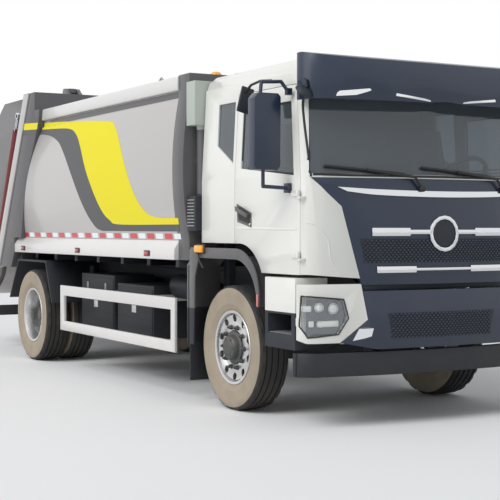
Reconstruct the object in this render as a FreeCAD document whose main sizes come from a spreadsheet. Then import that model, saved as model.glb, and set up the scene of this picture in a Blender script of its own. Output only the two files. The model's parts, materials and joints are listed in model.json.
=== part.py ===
"""Rear-loading refuse truck: a two-axle chassis with a tilting cab, a curved-side
collecting body, and a lifting tailgate with its packer.

Frame: +X forward, +Y to the truck's left, +Z up, millimetres. The origin lies on the
ground, on the centre line, half-way between the foremost and the rearmost point.
"""
import FreeCAD, Part
import math
import os
import re

import Sketcher
from FreeCAD import Vector

SIZES = [
    ("wheelbase", 4500, "front axle to rear axle"),
    ("front_overhang", 1420, "front axle to the sun visor's front edge"),
    ("tail_overhang", 2900, "rear axle to the hindmost edge of the bin lifter"),
    ("gap", 0.3, "seat clearance between pieces of one body"),
    ("play", 1, "radial clearance of a pin or shaft that turns"),

    ("tyre_radius", 506, "tyre's outer radius, and the height of each axle"),
    ("tyre_width", 275, "tyre across its sidewalls"),
    ("rim_seat", 286, "rim's outer radius where the tyre's bead sits"),
    ("rim_width", 236, "rim across its flanges"),
    ("rim_wall", 12, "thickness of rim and wheel disc"),
    ("hub_seat", 140, "radius of the wheel's centre bore"),
    ("hand_holes", 10, "holes round each wheel disc"),
    ("hand_hole", 27, "radius of a hole in the wheel disc"),
    ("hand_ring", 222, "radius of the circle of those holes"),
    ("front_wheel", 970, "centre line to the middle of a front tyre"),
    ("front_dish", 92, "middle of a front tyre to its wheel disc"),
    ("twin_wheel", 930, "centre line to the middle of a pair of rear tyres"),
    ("twin_pitch", 318, "middle of one rear tyre to the middle of its twin"),

    ("rail_half", 430, "centre line to the outside of a frame rail"),
    ("rail_flange", 80, "width of a frame rail"),
    ("rail_depth", 280, "height of a frame rail"),
    ("rail_wall", 10, "thickness of a frame rail"),
    ("rail_top", 1000, "top of the frame above the ground"),
    ("rail_ahead", 1190, "front axle to the front end of the rails"),
    ("rail_behind", 1110, "rear axle to the rear end of the rails"),
    ("cross_width", 90, "width of a cross-member"),

    ("kingpin_half", 830, "centre line to the kingpin"),
    ("kingpin", 22, "kingpin's radius"),
    ("axle_eye", 50, "radius of the axle's eye round the kingpin"),
    ("axle_eye_half", 60, "half the height of the axle's eye"),
    ("beam_half", 45, "half the height and width of the front axle's beam"),
    ("beam_drop", 70, "drop of the front axle's beam below the wheel centre"),
    ("beam_bend", 560, "centre line to where the front axle's beam turns up"),
    ("knuckle_plate", 28, "thickness of a knuckle's ears"),
    ("arm_length", 180, "kingpin back to the tie rod"),
    ("tie_stud", 12, "radius of a tie rod's stud"),
    ("tie_eye", 27, "radius of a tie rod's eye"),
    ("tie_radius", 17, "radius of the tie rod"),
    ("spindle", 40, "radius of a wheel spindle"),
    ("hub_radius", 120, "radius of a hub's drum"),
    ("hub_beyond", 205, "middle of the twins to the end of a rear hub"),
    ("rear_tube", 75, "radius of the rear axle's tube"),
    ("diff_radius", 215, "radius of the rear axle's gear housing"),

    ("spring_width", 76, "width of a leaf spring"),
    ("spring_leaf", 62, "thickness of a stack of leaves at its middle"),
    ("spring_front", 780, "half the length of a front spring"),
    ("spring_rear", 830, "half the length of a rear spring"),

    ("cab_half", 1150, "centre line to the cab's side"),
    ("cab_rear", 415, "front axle back to the cab's rear wall"),
    ("cab_face", 1362, "front axle to the foremost point of the grille"),
    ("cab_wall", 45, "thickness of cab walls and doors"),
    ("cab_bow", 115, "how far the cab's front bows forward"),
    ("cab_corner", 170, "radius of the cab's front corners"),
    ("front_sill", 1052, "lower edge of the cab's front"),
    ("door_sill", 1129, "lower edge of the doors"),
    ("rear_sill", 1350, "lower edge of the cab behind the doors"),
    ("belt", 1850, "height of the windscreen's lower edge"),
    ("gutter", 2607, "height where the cab's side turns into the roof"),
    ("cab_roof", 2745, "height of the cab's roof"),
    ("lean", 52, "how far each side leans in from belt to roof"),
    ("belt_back", 14, "how far the front leans back from sill to belt"),
    ("rake", 148, "how far the windscreen leans back from belt to roof"),
    ("roof_round", 125, "radius of the roof's edges"),
    ("arch_reach", 235, "front axle forward to where the arch turns down"),
    ("arch_round", 405, "radius of the cab's edge over the front fender"),
    ("seam", 5, "gap round a door"),
    ("door_rear", 165, "front axle to the door's rear edge"),
    ("door_front", 1136, "front axle to the door's front edge"),
    ("door_rake", 112, "how far the door's front edge leans back above the belt"),
    ("door_pivot", 1156, "centre line to the axis of a door's hinges"),
    ("door_pin", 8, "radius of a door's hinge pins"),
    ("door_top", 2530, "height of the door's upper edge"),
    ("glass", 6, "thickness of the windows"),
    ("glass_inset", 12, "how far the windows lie inside the cab's skin"),
    ("tilt_ahead", 1255, "front axle to the cab's tilt axis"),
    ("tilt_height", 880, "height of the cab's tilt axis"),
    ("tilt_arm", 310, "centre line to a tilt arm"),
    ("tilt_pin", 20, "radius of the tilt pin"),

    ("corner_low", 1100, "lower edge of the cab's front corners"),
    ("screen_half", 1092, "centre line to the windscreen's side"),
    ("screen_taper", 48, "how far each side of the windscreen leans in"),
    ("screen_top", 2490, "height of the windscreen's upper edge"),
    ("tunnel_half", 330, "half the width of the tunnel over the engine"),

    ("visor_half", 1142, "centre line to the side of the sun visor"),
    ("visor_top", 2712, "height of the sun visor's upper edge"),
    ("visor_low", 2405, "height of the sun visor's lower edge"),

    ("bumper_half", 1205, "centre line to the side of the bumper"),
    ("bumper_face", 1368, "front axle to the foremost point of the bumper"),
    ("bumper_wall", 30, "thickness of the bumper's skin"),
    ("bumper_top", 1010, "upper edge of the bumper"),
    ("bumper_low", 580, "lower edge of the bumper"),
    ("block_top", 1062, "upper edge of a headlamp block"),
    ("block_low", 634, "lower edge of a headlamp block"),
    ("block_rear", 1165, "front axle to the rear edge of a headlamp block"),
    ("beam_top", 560, "upper edge of the front under-run beam"),
    ("beam_low", 385, "lower edge of the front under-run beam"),

    ("fender_half", 1190, "centre line to the outside of the front fender"),
    ("fender_wall", 22, "thickness of the fenders"),
    ("emblem_height", 1430, "height of the ring on the front"),
    ("emblem_radius", 137, "outer radius of the ring on the front"),
    ("fender_drop", 30, "room between the cab's lower edge and the front fender"),
    ("liner_inner", 880, "centre line to the inner edge of the front fender"),
    ("arch_top", 1224, "height of the front wheel opening"),
    ("arch_side", 592, "front axle forward to the wheel opening's edge"),
    ("arch_bend", 340, "radius of the front wheel opening"),
    ("arch_back", 600, "front axle back to the front mud flap"),

    ("body_half", 1165, "centre line to the body's side at its floor and roof"),
    ("body_bulge", 62, "how far the body's side swells at mid-height"),
    ("body_wall", 40, "thickness of the body's walls"),
    ("body_front", 600, "front axle back to the body's front wall"),
    ("post_width", 200, "width of the body's front posts"),
    ("body_floor", 1290, "height of the load floor"),
    ("sill_low", 1197, "lower edge of the body's side rail"),
    ("panel_top", 2590, "upper edge of the curved side panels"),
    ("eave_low", 2662, "lower edge of the light strip along the roof"),
    ("body_top", 2785, "upper face of the body's roof"),
    ("sill_top", 1365, "upper edge of the body's side rail"),
    ("sill_crease", 1288, "height where the side rail's face turns in"),
    ("sill_half", 1218, "centre line to the side rail's face"),
    ("beam_height", 130, "height of the long beams between frame and body"),
    ("cross_pitch", 610, "spacing of the cross beams under the floor"),
    ("post_curve", 2727, "radius of the rear post's front edge"),
    ("portal_ahead", 100, "rear axle forward to the front of the portal's beam"),
    ("sill_back", 605, "rear axle back to the rear ends of the side rails"),
    ("portal_low", 1019, "lower end of the rear portal"),
    ("flange_half", 1234, "centre line to the outside of the portal's flange"),
    ("portal_top", 2990, "top of the rear portal"),
    ("portal_half", 1222, "centre line to the outside of the rear portal"),
    ("seam_setback", 65, "rear axle back to the portal's rear plane at its top"),
    ("seam_slope", 0.547, "run per rise of the portal's rear plane"),
    ("flange_depth", 170, "depth of the portal's rear flange"),
    ("seal", 8, "gap between portal and tailgate"),

    ("gate_half", 1130, "centre line to the outside of the tailgate"),
    ("gate_wall", 55, "thickness of the tailgate's side walls"),
    ("gate_top", 2975, "top of the tailgate"),
    ("cover_front", 1250, "rear axle back to where the tailgate's cover turns down"),
    ("cover_back", 2640, "rear axle back to the cover's lower edge"),
    ("cover_low", 2150, "height of the cover's lower edge"),
    ("cover_wall", 40, "thickness of the tailgate's cover"),
    ("lamp_back", 2560, "rear axle back to the tail lamps"),
    ("hopper_back", 2000, "rear axle back to the hopper's centre"),
    ("hopper_height", 1500, "height of the hopper's centre"),
    ("hopper_radius", 812, "inner radius of the hopper's floor"),
    ("hopper_wall", 40, "thickness of the hopper's floor"),
    ("lip_height", 1180, "height of the loading edge"),
    ("hinge_height", 3042, "height of the tailgate's hinge"),
    ("hinge_back", 262, "rear axle back to the tailgate's hinge"),
    ("hinge_pin", 30, "radius of the tailgate's hinge pin"),

    ("lift_half", 1192, "centre line to a lift cylinder"),
    ("lift_barrel", 46, "radius of a lift cylinder's barrel"),
    ("lift_rod", 27, "radius of a lift cylinder's rod"),
    ("lift_pin", 22, "radius of a lift cylinder's pins"),
    ("lift_back", 1370, "rear axle back to a lift cylinder's lower pin"),
    ("lift_foot", 1040, "height of a lift cylinder's lower pin"),
    ("eye_back", 530, "rear axle back to the rod's eye"),
    ("eye_height", 2770, "height of the rod's eye"),
    ("rod_shown", 190, "length of rod that shows at rest, to its eye's centre"),
    ("slide_in", 700, "length of rod inside the barrel at rest"),

    ("blade_length", 760, "length of the packer blade"),
    ("slide_length", 700, "length of the packer's slide plate above its hinge"),
    ("lifter_back", 2830, "rear axle back to the bin lifter's axis"),
    ("lifter_height", 1225, "height of the bin lifter's axis"),
    ("lifter_half", 960, "centre line to the end of the bin lifter"),
    ("lifter_pin", 18, "radius of the bin lifter's pins"),
    ("push_rest", 1560, "front axle back to the ejector plate's lower edge at rest"),
    ("push_play", 12, "clearance round the ejector plate"),
    ("slide_play", 0.8, "running gap of the sliding pieces"),
    ("shoulder", 40, "slope of a tyre's shoulder"),
    ("slide_travel", 650, "travel of the packer's slide"),
    ("push_travel", 3300, "travel of the ejector plate"),
]

document = FreeCAD.newDocument("refuse_truck")
sheet = document.addObject("Spreadsheet::Sheet", "Sizes")
for row, (alias, number, note) in enumerate(SIZES, 1):
    sheet.set(f"A{row}", str(number))
    sheet.setAlias(f"A{row}", alias)
    sheet.set(f"B{row}", note)
document.recompute()

FUNCTIONS = {"sqrt", "min", "max", "abs", "cos", "sin", "atan"}
WORD = re.compile(r"[a-z][a-z_]*")
PLANES = {"XY": ("XY_Plane", 1), "YZ": ("YZ_Plane", 1), "XZ": ("XZ_Plane", -1)}
TURNS = {
    "X": FreeCAD.Rotation(Vector(0, 1, 0), 90),
    "Y": FreeCAD.Rotation(Vector(1, 0, 0), -90),
    "Z": FreeCAD.Rotation(),
}
TYRE_SIDES = 30
RIM_SIDES = 18
HUB_SIDES = 12
HUB_SPIGOT = f"(hub_seat - gap) * cos(180 / {RIM_SIDES})"
CORNER = ((0, 0), (0.433, 0.099), (0.781, 0.375), (0.974, 0.775))
EAVE = ((0, 1), (0.134, 0.5), (0.5, 0.134), (1, 0))
nodes = []


def bind(text):
    """The formula with each sheet name spelt the way an expression needs it."""
    def spell(match):
        word = match.group(0)
        return word if word in FUNCTIONS else "Sizes." + word
    return WORD.sub(spell, str(text))


def size(text):
    """The formula's value in millimetres."""
    return float(sheet.evalExpression(bind(text)))


def node(label, piece):
    """Names a finished sub-part."""
    piece.Label = label
    nodes.append(piece)
    return piece


def fresh(kind, name):
    return document.addObject(kind, name)


def arc_between(start, end, radius):
    """An arc from start to end, and whether it runs clockwise."""
    a = Vector(*start, 0)
    b = Vector(*end, 0)
    half = (b - a).Length / 2
    reach = abs(radius)
    rise = math.sqrt(max(reach * reach - half * half, 0))
    across = (b - a).normalize()
    left = Vector(-across.y, across.x, 0)
    centre = (a + b) * 0.5 + left * (rise if radius > 0 else -rise)
    circle = Part.Circle(centre, Vector(0, 0, 1), reach)
    first, last = (a, b) if radius > 0 else (b, a)
    begin = circle.parameter(first)
    finish = circle.parameter(last)
    return Part.ArcOfCircle(circle, begin, finish), radius < 0


def draw(body, plane, loops, offset="0", rise="0"):
    """A sketch of closed loops. A corner is (a, b), or (a, b, radius) where an arc ends."""
    sketch = body.newObject("Sketcher::SketchObject", body.Name + "_sketch")
    role, sense = PLANES[plane]
    support = [item for item in body.Origin.OriginFeatures if item.Role == role][0]
    sketch.AttachmentSupport = [(support, "")]
    sketch.MapMode = "FlatFace"
    sketch.setExpression("AttachmentOffset.Base.z", bind(f"{sense} * ({offset})"))
    sketch.setExpression("AttachmentOffset.Base.y", bind(rise))
    rules = []
    formulas = []
    for loop in loops:
        first = sketch.GeometryCount
        spots = [(size(corner[0]), size(corner[1])) for corner in loop]
        ends = []
        for index, corner in enumerate(loop):
            start = spots[index - 1]
            end = spots[index]
            name = first + index
            if len(corner) == 3:
                piece, clockwise = arc_between(start, end, size(corner[2]))
                ends.append((2, 1) if clockwise else (1, 2))
                rules.append(Sketcher.Constraint("Radius", name, abs(size(corner[2]))))
                formulas.append(f"abs({corner[2]})")
            else:
                piece = Part.LineSegment(Vector(*start, 0), Vector(*end, 0))
                ends.append((1, 2))
            sketch.addGeometry(piece, False)
        for index, corner in enumerate(loop):
            name = first + index
            after = first + (index + 1) % len(loop)
            tail = ends[index][1]
            head = ends[(index + 1) % len(loop)][0]
            rules.append(Sketcher.Constraint("Coincident", name, tail, after, head))
            formulas.append(None)
            for kind, text in (("DistanceX", corner[0]), ("DistanceY", corner[1])):
                rules.append(Sketcher.Constraint(kind, -1, 1, name, tail, size(text)))
                formulas.append(text)
    sketch.addConstraint(rules)
    for index, text in enumerate(formulas):
        if text is not None:
            sketch.setExpression(f"Constraints[{index}]", bind(text))
    return sketch


def slab(name, plane, loop, low, high, holes=()):
    """An outline pushed out between two distances along its plane's normal."""
    body = fresh("PartDesign::Body", name)
    sketch = draw(body, plane, [loop, *holes], low)
    pad = body.newObject("PartDesign::Pad", name + "_pad")
    pad.Profile = sketch
    pad.Reversed = plane == "XZ"
    pad.setExpression("Length", bind(f"{high} - ({low})"))
    sketch.Visibility = False
    return body


def block(name, x, y, z):
    """A box between low and high ends along each axis."""
    box = fresh("Part::Box", name)
    for side, letter, ends in (("Length", "x", x), ("Width", "y", y), ("Height", "z", z)):
        box.setExpression(side, bind(f"{ends[1]} - ({ends[0]})"))
        box.setExpression(f"Placement.Base.{letter}", bind(ends[0]))
    return box


def sides_for(radius):
    """How many flats stand for a round of this radius."""
    reach = size(radius)
    return 8 if reach < 20 else 12 if reach < 60 else 16


def shaft(name, axis, centre, ends, radius):
    """A round bar along one axis, with flats for its round. centre gives the other two."""
    bar = fresh("Part::Prism", name)
    bar.Polygon = sides_for(radius)
    bar.Placement.Rotation = TURNS[axis]
    bar.setExpression("Circumradius", bind(radius))
    bar.setExpression("Height", bind(f"{ends[1]} - ({ends[0]})"))
    places = dict(zip([letter for letter in "XYZ" if letter != axis], centre))
    places[axis] = ends[0]
    for letter, text in places.items():
        bar.setExpression(f"Placement.Base.{letter.lower()}", bind(text))
    return bar


def round_hole(name, axis, centre, ends, radius):
    """A hole whose flats lie outside the given radius."""
    return shaft(name, axis, centre, ends, f"({radius}) / cos(180 / {sides_for(radius)})")


def ring_form(name, x, spots, sides):
    """A solid about an axle through (y, radius) sections, each stretch of it with flats."""
    stretches = []
    for (near, first), (far, last) in zip(spots, spots[1:]):
        if size(first) >= size(last):
            base, wide, small, way = near, first, last, 1
        else:
            base, wide, small, way = far, last, first, -1
        gon = fresh("Part::RegularPolygon", name + "_section")
        gon.Polygon = sides
        gon.Placement.Rotation = FreeCAD.Rotation(Vector(1, 0, 0), 90)
        gon.setExpression("Circumradius", bind(wide))
        gon.setExpression("Placement.Base.x", bind(x))
        gon.setExpression("Placement.Base.y", bind(base))
        gon.setExpression("Placement.Base.z", bind("tyre_radius"))
        stretch = fresh("Part::Extrusion", name + "_stretch")
        stretch.Base = gon
        stretch.DirMode = "Custom"
        stretch.Dir = Vector(0, way if size(near) < size(far) else -way, 0)
        stretch.Solid = True
        run = f"abs({far} - ({near}))"
        stretch.setExpression("LengthFwd", bind(run))
        if size(wide) > size(small):
            drop = f"({wide} - ({small})) * cos(180 / {sides})"
            stretch.setExpression("TaperAngle", bind(f"-atan({drop} / {run})"))
        stretches.append(stretch)
    return stretches[0] if len(stretches) == 1 else fuse(name, *stretches)


def rod_between(name, start, end, radius):
    """A straight round bar between two points given as formulas."""
    bar = fresh("Part::Prism", name)
    a = Vector(*[size(text) for text in start])
    b = Vector(*[size(text) for text in end])
    bar.Polygon = sides_for(radius)
    bar.setExpression("Circumradius", bind(radius))
    bar.Height = (b - a).Length
    bar.Placement = FreeCAD.Placement(a, FreeCAD.Rotation(Vector(0, 0, 1), b - a))
    return bar


def cut(name, base, *tools):
    """base less each tool in turn."""
    piece = base
    for index, tool in enumerate(tools):
        step = fresh("Part::Cut", f"{name}_cut{index}")
        step.Base = piece
        step.Tool = tool
        piece = step
    return piece


def fuse(name, *pieces):
    piece = fresh("Part::MultiFuse", name + "_fuse")
    piece.Shapes = list(pieces)
    return piece


def common(name, *pieces):
    piece = fresh("Part::MultiCommon", name + "_common")
    piece.Shapes = list(pieces)
    return piece


def mirrored(name, source):
    """The same piece on the other side of the centre line."""
    twin = fresh("Part::Mirroring", name + "_mirror")
    twin.Source = source
    twin.Normal = Vector(0, 1, 0)
    return twin


def group(name, *pieces):
    """Several separate solids that share one node."""
    bundle = fresh("Part::Compound", name + "_group")
    bundle.Links = list(pieces)
    return bundle


def both_sides(label, piece):
    """One node that holds a piece and its mirror image."""
    return node(label, group(label, piece, mirrored(label, piece)))


def pair(label, piece):
    """Two nodes, right and left, from the right-hand piece."""
    node(label + "_right", piece)
    return node(label + "_left", mirrored(label, piece))


FRONT = "(wheelbase + tail_overhang - front_overhang) / 2"
REAR = "(tail_overhang - front_overhang - wheelbase) / 2"


def ahead(distance):
    """X of a point that lies some distance ahead of the front axle."""
    return f"({FRONT} + {distance})"


def behind(distance):
    """X of a point that lies some distance behind the rear axle."""
    return f"({REAR} - ({distance}))"


def sloped(height, back="0"):
    """X of the portal's rear plane at a height, or of a plane behind it."""
    return f"({REAR} - seam_setback - (portal_top - ({height})) * seam_slope - ({back}))"


def minus(text):
    return f"-({text})"


def chassis():
    """Ladder frame: two channel rails, cross-members and the body's subframe."""
    outer = "rail_half"
    inner = "rail_half - rail_flange"
    low = "rail_top - rail_depth"
    front = ahead("rail_ahead")
    rear = behind("rail_behind")
    rail = block("rail", (rear, front), (minus(outer), minus(inner)), (low, "rail_top"))
    hollow = block("rail_hollow", (rear, front),
                   (f"-({outer}) + rail_wall", minus(inner)),
                   (f"{low} + rail_wall", "rail_top - rail_wall"))
    channel = cut("rail", rail, hollow)
    crosses = []
    places = [ahead("rail_ahead - 200"), ahead("-860"), ahead("-1700"), ahead("-2900"),
              behind("-900"), behind("0"), behind("rail_behind - 150")]
    for index, place in enumerate(places):
        crosses.append(block(f"cross{index}", (place, f"{place} + cross_width"),
                             ("-rail_half + rail_wall", "rail_half - rail_wall"),
                             (f"{low} + rail_wall", "rail_top - rail_wall - 60")))
    node("chassis_frame", fuse("chassis", channel, mirrored("rail", channel), *crosses))


def front_axle():
    """Dropped beam with an eye for each kingpin, on the wheel centre's height."""
    middle = "tyre_radius - beam_drop"
    end = "kingpin_half - axle_eye / 2"
    bend = "beam_bend"
    profile = [(minus(end), "tyre_radius - beam_half"), (minus(bend), f"{middle} - beam_half"),
               (bend, f"{middle} - beam_half"), (end, "tyre_radius - beam_half"),
               (end, "tyre_radius + beam_half"), (f"{bend} - 30", f"{middle} + beam_half"),
               (f"-({bend} - 30)", f"{middle} + beam_half"), (minus(end), "tyre_radius + beam_half")]
    beam = slab("axle_beam", "YZ", profile, ahead("-beam_half"), ahead("beam_half"))
    height = ("tyre_radius - axle_eye_half", "tyre_radius + axle_eye_half")
    eyes = []
    bores = []
    for side in ("-", ""):
        centre = (FRONT, f"{side}kingpin_half")
        eyes.append(shaft("axle_eye", "Z", centre, height, "axle_eye"))
        bores.append(round_hole("axle_bore", "Z", centre,
                           (height[0] + " - 10", height[1] + " + 10"), "kingpin + play"))
    node("front_axle", cut("front_axle", fuse("front_axle", beam, *eyes), *bores))


def knuckle():
    """Forked knuckle with its kingpin, steering arm and wheel spindle."""
    inner = "-(kingpin_half - 45)"
    web = "kingpin_half + axle_eye + 10"
    outer = f"-({web} + knuckle_plate)"
    reach = ("-52", "52")
    along = (ahead(reach[0]), ahead(reach[1]))
    clear = "axle_eye_half + 6"
    ears = [
        block("ear_top", along, (outer, inner),
              (f"tyre_radius + {clear}", f"tyre_radius + {clear} + knuckle_plate")),
        block("ear_low", along, (outer, inner),
              (f"tyre_radius - {clear} - knuckle_plate", f"tyre_radius - ({clear})")),
        block("ear_web", along, (outer, minus(web)),
              (f"tyre_radius - {clear} - knuckle_plate", f"tyre_radius + {clear} + knuckle_plate")),
    ]
    pin = shaft("kingpin", "Z", (FRONT, "-kingpin_half"),
                (f"tyre_radius - {clear} - 5", f"tyre_radius + {clear} + 5"), "kingpin")
    axle = shaft("spindle", "Y", (FRONT, "tyre_radius"),
                 ("-(front_wheel + front_dish + 55)", outer), "spindle")
    arm = block("steering_arm", (ahead("-arm_length - 24"), ahead("-40")),
                ("-(kingpin_half + 24)", "-(kingpin_half - 24)"),
                (f"tyre_radius - {clear} - knuckle_plate", f"tyre_radius - ({clear})"))
    stud = shaft("arm_stud", "Z", (ahead("-arm_length"), "-kingpin_half"),
                 (f"tyre_radius - {clear} - knuckle_plate - 52", f"tyre_radius - {clear} - 5"),
                 "tie_stud")
    pair("knuckle", fuse("knuckle", *ears, pin, axle, arm, stud))


def tie_rod():
    """Rod that joins the two steering arms, with an eye on each stud."""
    level = "tyre_radius - axle_eye_half - 6 - knuckle_plate - 27"
    spot = ahead("-arm_length")
    bar = shaft("tie_bar", "Y", (spot, level), ("-(kingpin_half - 20)", "kingpin_half - 20"), "tie_radius")
    eyes = []
    bores = []
    for side in ("-", ""):
        centre = (spot, f"{side}kingpin_half")
        eyes.append(shaft("tie_eye", "Z", centre, (f"{level} - 20", f"{level} + 20"), "tie_eye"))
        bores.append(round_hole("tie_bore", "Z", centre, (f"{level} - 30", f"{level} + 30"),
                           "tie_stud + play"))
    node("tie_rod", cut("tie_rod", fuse("tie_rod", bar, *eyes), *bores))


def rear_axle():
    """Axle tube with its gear housing, nose and spindles."""
    half = "twin_wheel - 100"
    tip = "twin_wheel + hub_beyond - 20"
    centre = (REAR, "tyre_radius")
    tube = fuse("axle_tube", shaft("axle_tube", "Y", centre, (minus(f"({half})"), half), "rear_tube"),
                shaft("axle_spindle", "Y", centre, (minus(f"({tip})"), tip), "spindle"),
                shaft("axle_housing", "X", ("0", "tyre_radius"), (behind("150"), behind("-170")), "diff_radius - 10"))
    nose = shaft("axle_nose", "X", ("0", "tyre_radius"), (REAR, behind("-330")), "90")
    node("rear_axle", fuse("rear_axle", tube, nose))


def drum_between(name, x, low, high, radius, sides):
    """A plain many-sided drum about an axle."""
    bar = shaft(name, "Y", (x, "tyre_radius"), (low, high), radius)
    bar.Polygon = sides
    return bar


def tyre(name, x, centre):
    """A tyre about its middle: sidewalls, sloping shoulders and a flat crown."""
    half = "tyre_width / 2"
    bead = "(rim_width / 2 - 12)"
    flat = f"cos(180 / {TYRE_SIDES})"
    crown = f"tyre_radius / {flat}"
    reach = [(f"{x} + {crown} * cos({360 / TYRE_SIDES} * {index})",
              f"tyre_radius + {crown} * sin({360 / TYRE_SIDES} * {index})") for index in range(TYRE_SIDES)]
    outer = slab(name, "XZ", reach, f"{centre} - {half}", f"{centre} + {half}")
    document.recompute()
    pad = outer.Tip
    rims = []
    for index, edge in enumerate(pad.Shape.Edges, 1):
        if abs(edge.Vertexes[0].Y - edge.Vertexes[1].Y) < 1:
            rims.append(f"Edge{index}")
    shoulder = outer.newObject("PartDesign::Chamfer", name + "_shoulder")
    shoulder.Base = (pad, rims)
    shoulder.setExpression("Size", bind("shoulder"))
    rooms = []
    for low, high, radius in ((f"{centre} - {half} - 1", f"{centre} + {half} + 1", "rim_seat + gap"),
                              (f"{centre} - {half} - 1", f"{centre} - {bead}", "rim_seat + 20"),
                              (f"{centre} + {bead}", f"{centre} + {half} + 1", "rim_seat + 20")):
        rooms.append(drum_between(name + "_seat", x, low, high, f"({radius}) / {flat}", TYRE_SIDES))
    return cut(name, outer, fuse(name + "_seat", *rooms))


def rim(name, x, centre, sign, dish, holes):
    """A rim with its disc. The disc lies on the sign's side of the rim's middle."""
    def ring(tag, spots):
        places = [(f"{centre} {sign} ({y})", radius) for y, radius in spots]
        return ring_form(name + tag, x, places, RIM_SIDES)
    half = "rim_width / 2"
    barrel = "rim_seat - rim_wall"
    root = f"(min({half}; {dish}) - 18)"
    flanges = [ring("_flange", [(f"-({half})", "rim_seat + 14"), (f"-({half}) + 10", "rim_seat + 14")]),
               ring("_flange", [(f"{half} - 10", "rim_seat + 14"), (half, "rim_seat + 14")])]
    tube = fuse(name + "_tube", ring("_tube", [(f"-({half})", "rim_seat"), (half, "rim_seat")]), *flanges)
    hollow = ring("_hollow", [(f"-({half}) - 1", barrel), (f"{half} + 1", barrel)])
    cone = ring("_cone", [(f"{root} - 46", f"{barrel} + 6"), (root, f"{barrel} + 6"), (dish, "hand_ring - 8")])
    inside = ring("_inside", [(f"{root} - 47", f"{barrel} - 6"), (f"{dish} - rim_wall", "hand_ring - 14")])
    seat = ring("_seat", [(f"{dish} - rim_wall - 5", "hub_seat"), (f"{dish} + 5", "hub_seat")])
    cutters = [inside, seat]
    for index in range(int(size("hand_holes")) if holes else 0):
        turn = f"(360 / hand_holes * {index} + 18)"
        hole = fresh("Part::Prism", name + "_hand_hole")
        hole.Polygon = 8
        hole.Placement.Rotation = TURNS["Y"]
        hole.setExpression("Circumradius", bind("hand_hole"))
        hole.setExpression("Height", bind("rim_width"))
        hole.setExpression("Placement.Base.x", bind(f"{x} + (hand_ring + 14) * cos({turn})"))
        hole.setExpression("Placement.Base.y", bind(f"{centre} {sign} ({root}) - rim_width / 2"))
        hole.setExpression("Placement.Base.z", bind(f"tyre_radius + (hand_ring + 14) * sin({turn})"))
        cutters.append(hole)
    disc = cut(name + "_disc", cone, *cutters)
    return fuse(name, cut(name + "_tube", tube, hollow), disc)


def stepped(name, x, steps):
    """A hub of drums that narrow towards its end."""
    return fuse(name, *[drum_between(name, x, low, high, radius, HUB_SIDES) for low, high, radius in steps])


def wheels():
    """Front singles and rear twins, each with its tyre, rim and hub."""
    middle = "-front_wheel"
    pair("front_tyre", tyre("front_tyre", FRONT, middle))
    single = rim("front_rim", FRONT, middle, "-", "front_dish", True)
    inner = "-(kingpin_half + axle_eye + 10 + knuckle_plate + 6)"
    face = "-(front_wheel + front_dish)"
    steps = [(f"{face} + rim_wall + gap", inner, "hub_radius + 60"),
             (f"{face} - 14", f"{inner} - 5", HUB_SPIGOT), (f"{face} - 78", f"{inner} - 10", "hub_radius - 40")]
    hole = round_hole("front_hub_bore", "Y", (FRONT, "tyre_radius"), (f"{face} - 62", f"{inner} + 5"), "spindle + play")
    drum = cut("front_hub", stepped("front_hub", FRONT, steps), hole)
    pair("front_wheel", group("front_wheel", single, drum))
    outer = "-(twin_wheel + twin_pitch / 2)"
    inside = "-(twin_wheel - twin_pitch / 2)"
    pair("rear_tyres", group("rear_tyres", tyre("outer_tyre", REAR, outer), tyre("inner_tyre", REAR, inside)))
    dish = "twin_pitch / 2"
    shown = rim("outer_rim", REAR, outer, "+", dish, True)
    hidden = rim("inner_rim", REAR, inside, "-", dish, False)
    seat = "-twin_wheel"
    inner = "-(twin_wheel - 85)"
    tip = "-(twin_wheel + hub_beyond)"
    steps = [(f"{seat} + rim_wall + gap", inner, "hub_seat + 45"),
             (f"{seat} - rim_wall - 30", f"{inner} - 5", HUB_SPIGOT), (tip, f"{inner} - 10", "hub_radius - 26")]
    hole = round_hole("rear_hub_bore", "Y", (REAR, "tyre_radius"), (f"{tip} + 16", f"{inner} + 5"), "spindle + play")
    drum = cut("rear_hub", stepped("rear_hub", REAR, steps), hole)
    pair("rear_wheels", group("rear_wheels", fuse("rear_rims", shown, hidden), drum))


def leaf(name, middle, reach, seat, rise, thick):
    """A bowed leaf spring under the rail, in flats, with a hanger at each end."""
    shares = (-1, -0.7, -0.35, 0, 0.35, 0.7, 1)
    low = [(f"{middle} + {share} * {reach}", f"{seat} + {round(share ** 2, 4)} * {rise}") for share in shares]
    high = [(x, f"{z} + {thick} - {round(share ** 2, 4)} * ({thick} - 24)") for (x, z), share in zip(low, shares)]
    arc = slab(name + "_leaf", "XZ", low + high[::-1], "-(rail_half - 2)", "-(rail_half - 2 - spring_width)")
    hangers = []
    for sign in ("-", "+"):
        spot = f"{middle} {sign} ({reach})"
        hangers.append(block(name + "_hanger", (f"{spot} - 45", f"{spot} + 45"),
                             ("-(rail_half - 2)", "-(rail_half - 2 - spring_width)"),
                             (f"{seat} + {rise} - 25", "rail_top - rail_depth - gap")))
    return fuse(name, arc, *hangers)


def springs():
    """Leaf springs on the axles, hung from the rails."""
    seat = "tyre_radius - beam_drop + beam_half + gap"
    front = leaf("front_spring", FRONT, "spring_front", seat, "150", "spring_leaf")
    seat = "tyre_radius + rear_tube + gap"
    rear = leaf("rear_spring", REAR, "spring_rear", seat, "90", "spring_leaf")
    both_sides("leaf_springs", group("leaf_springs", front, rear))


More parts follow.
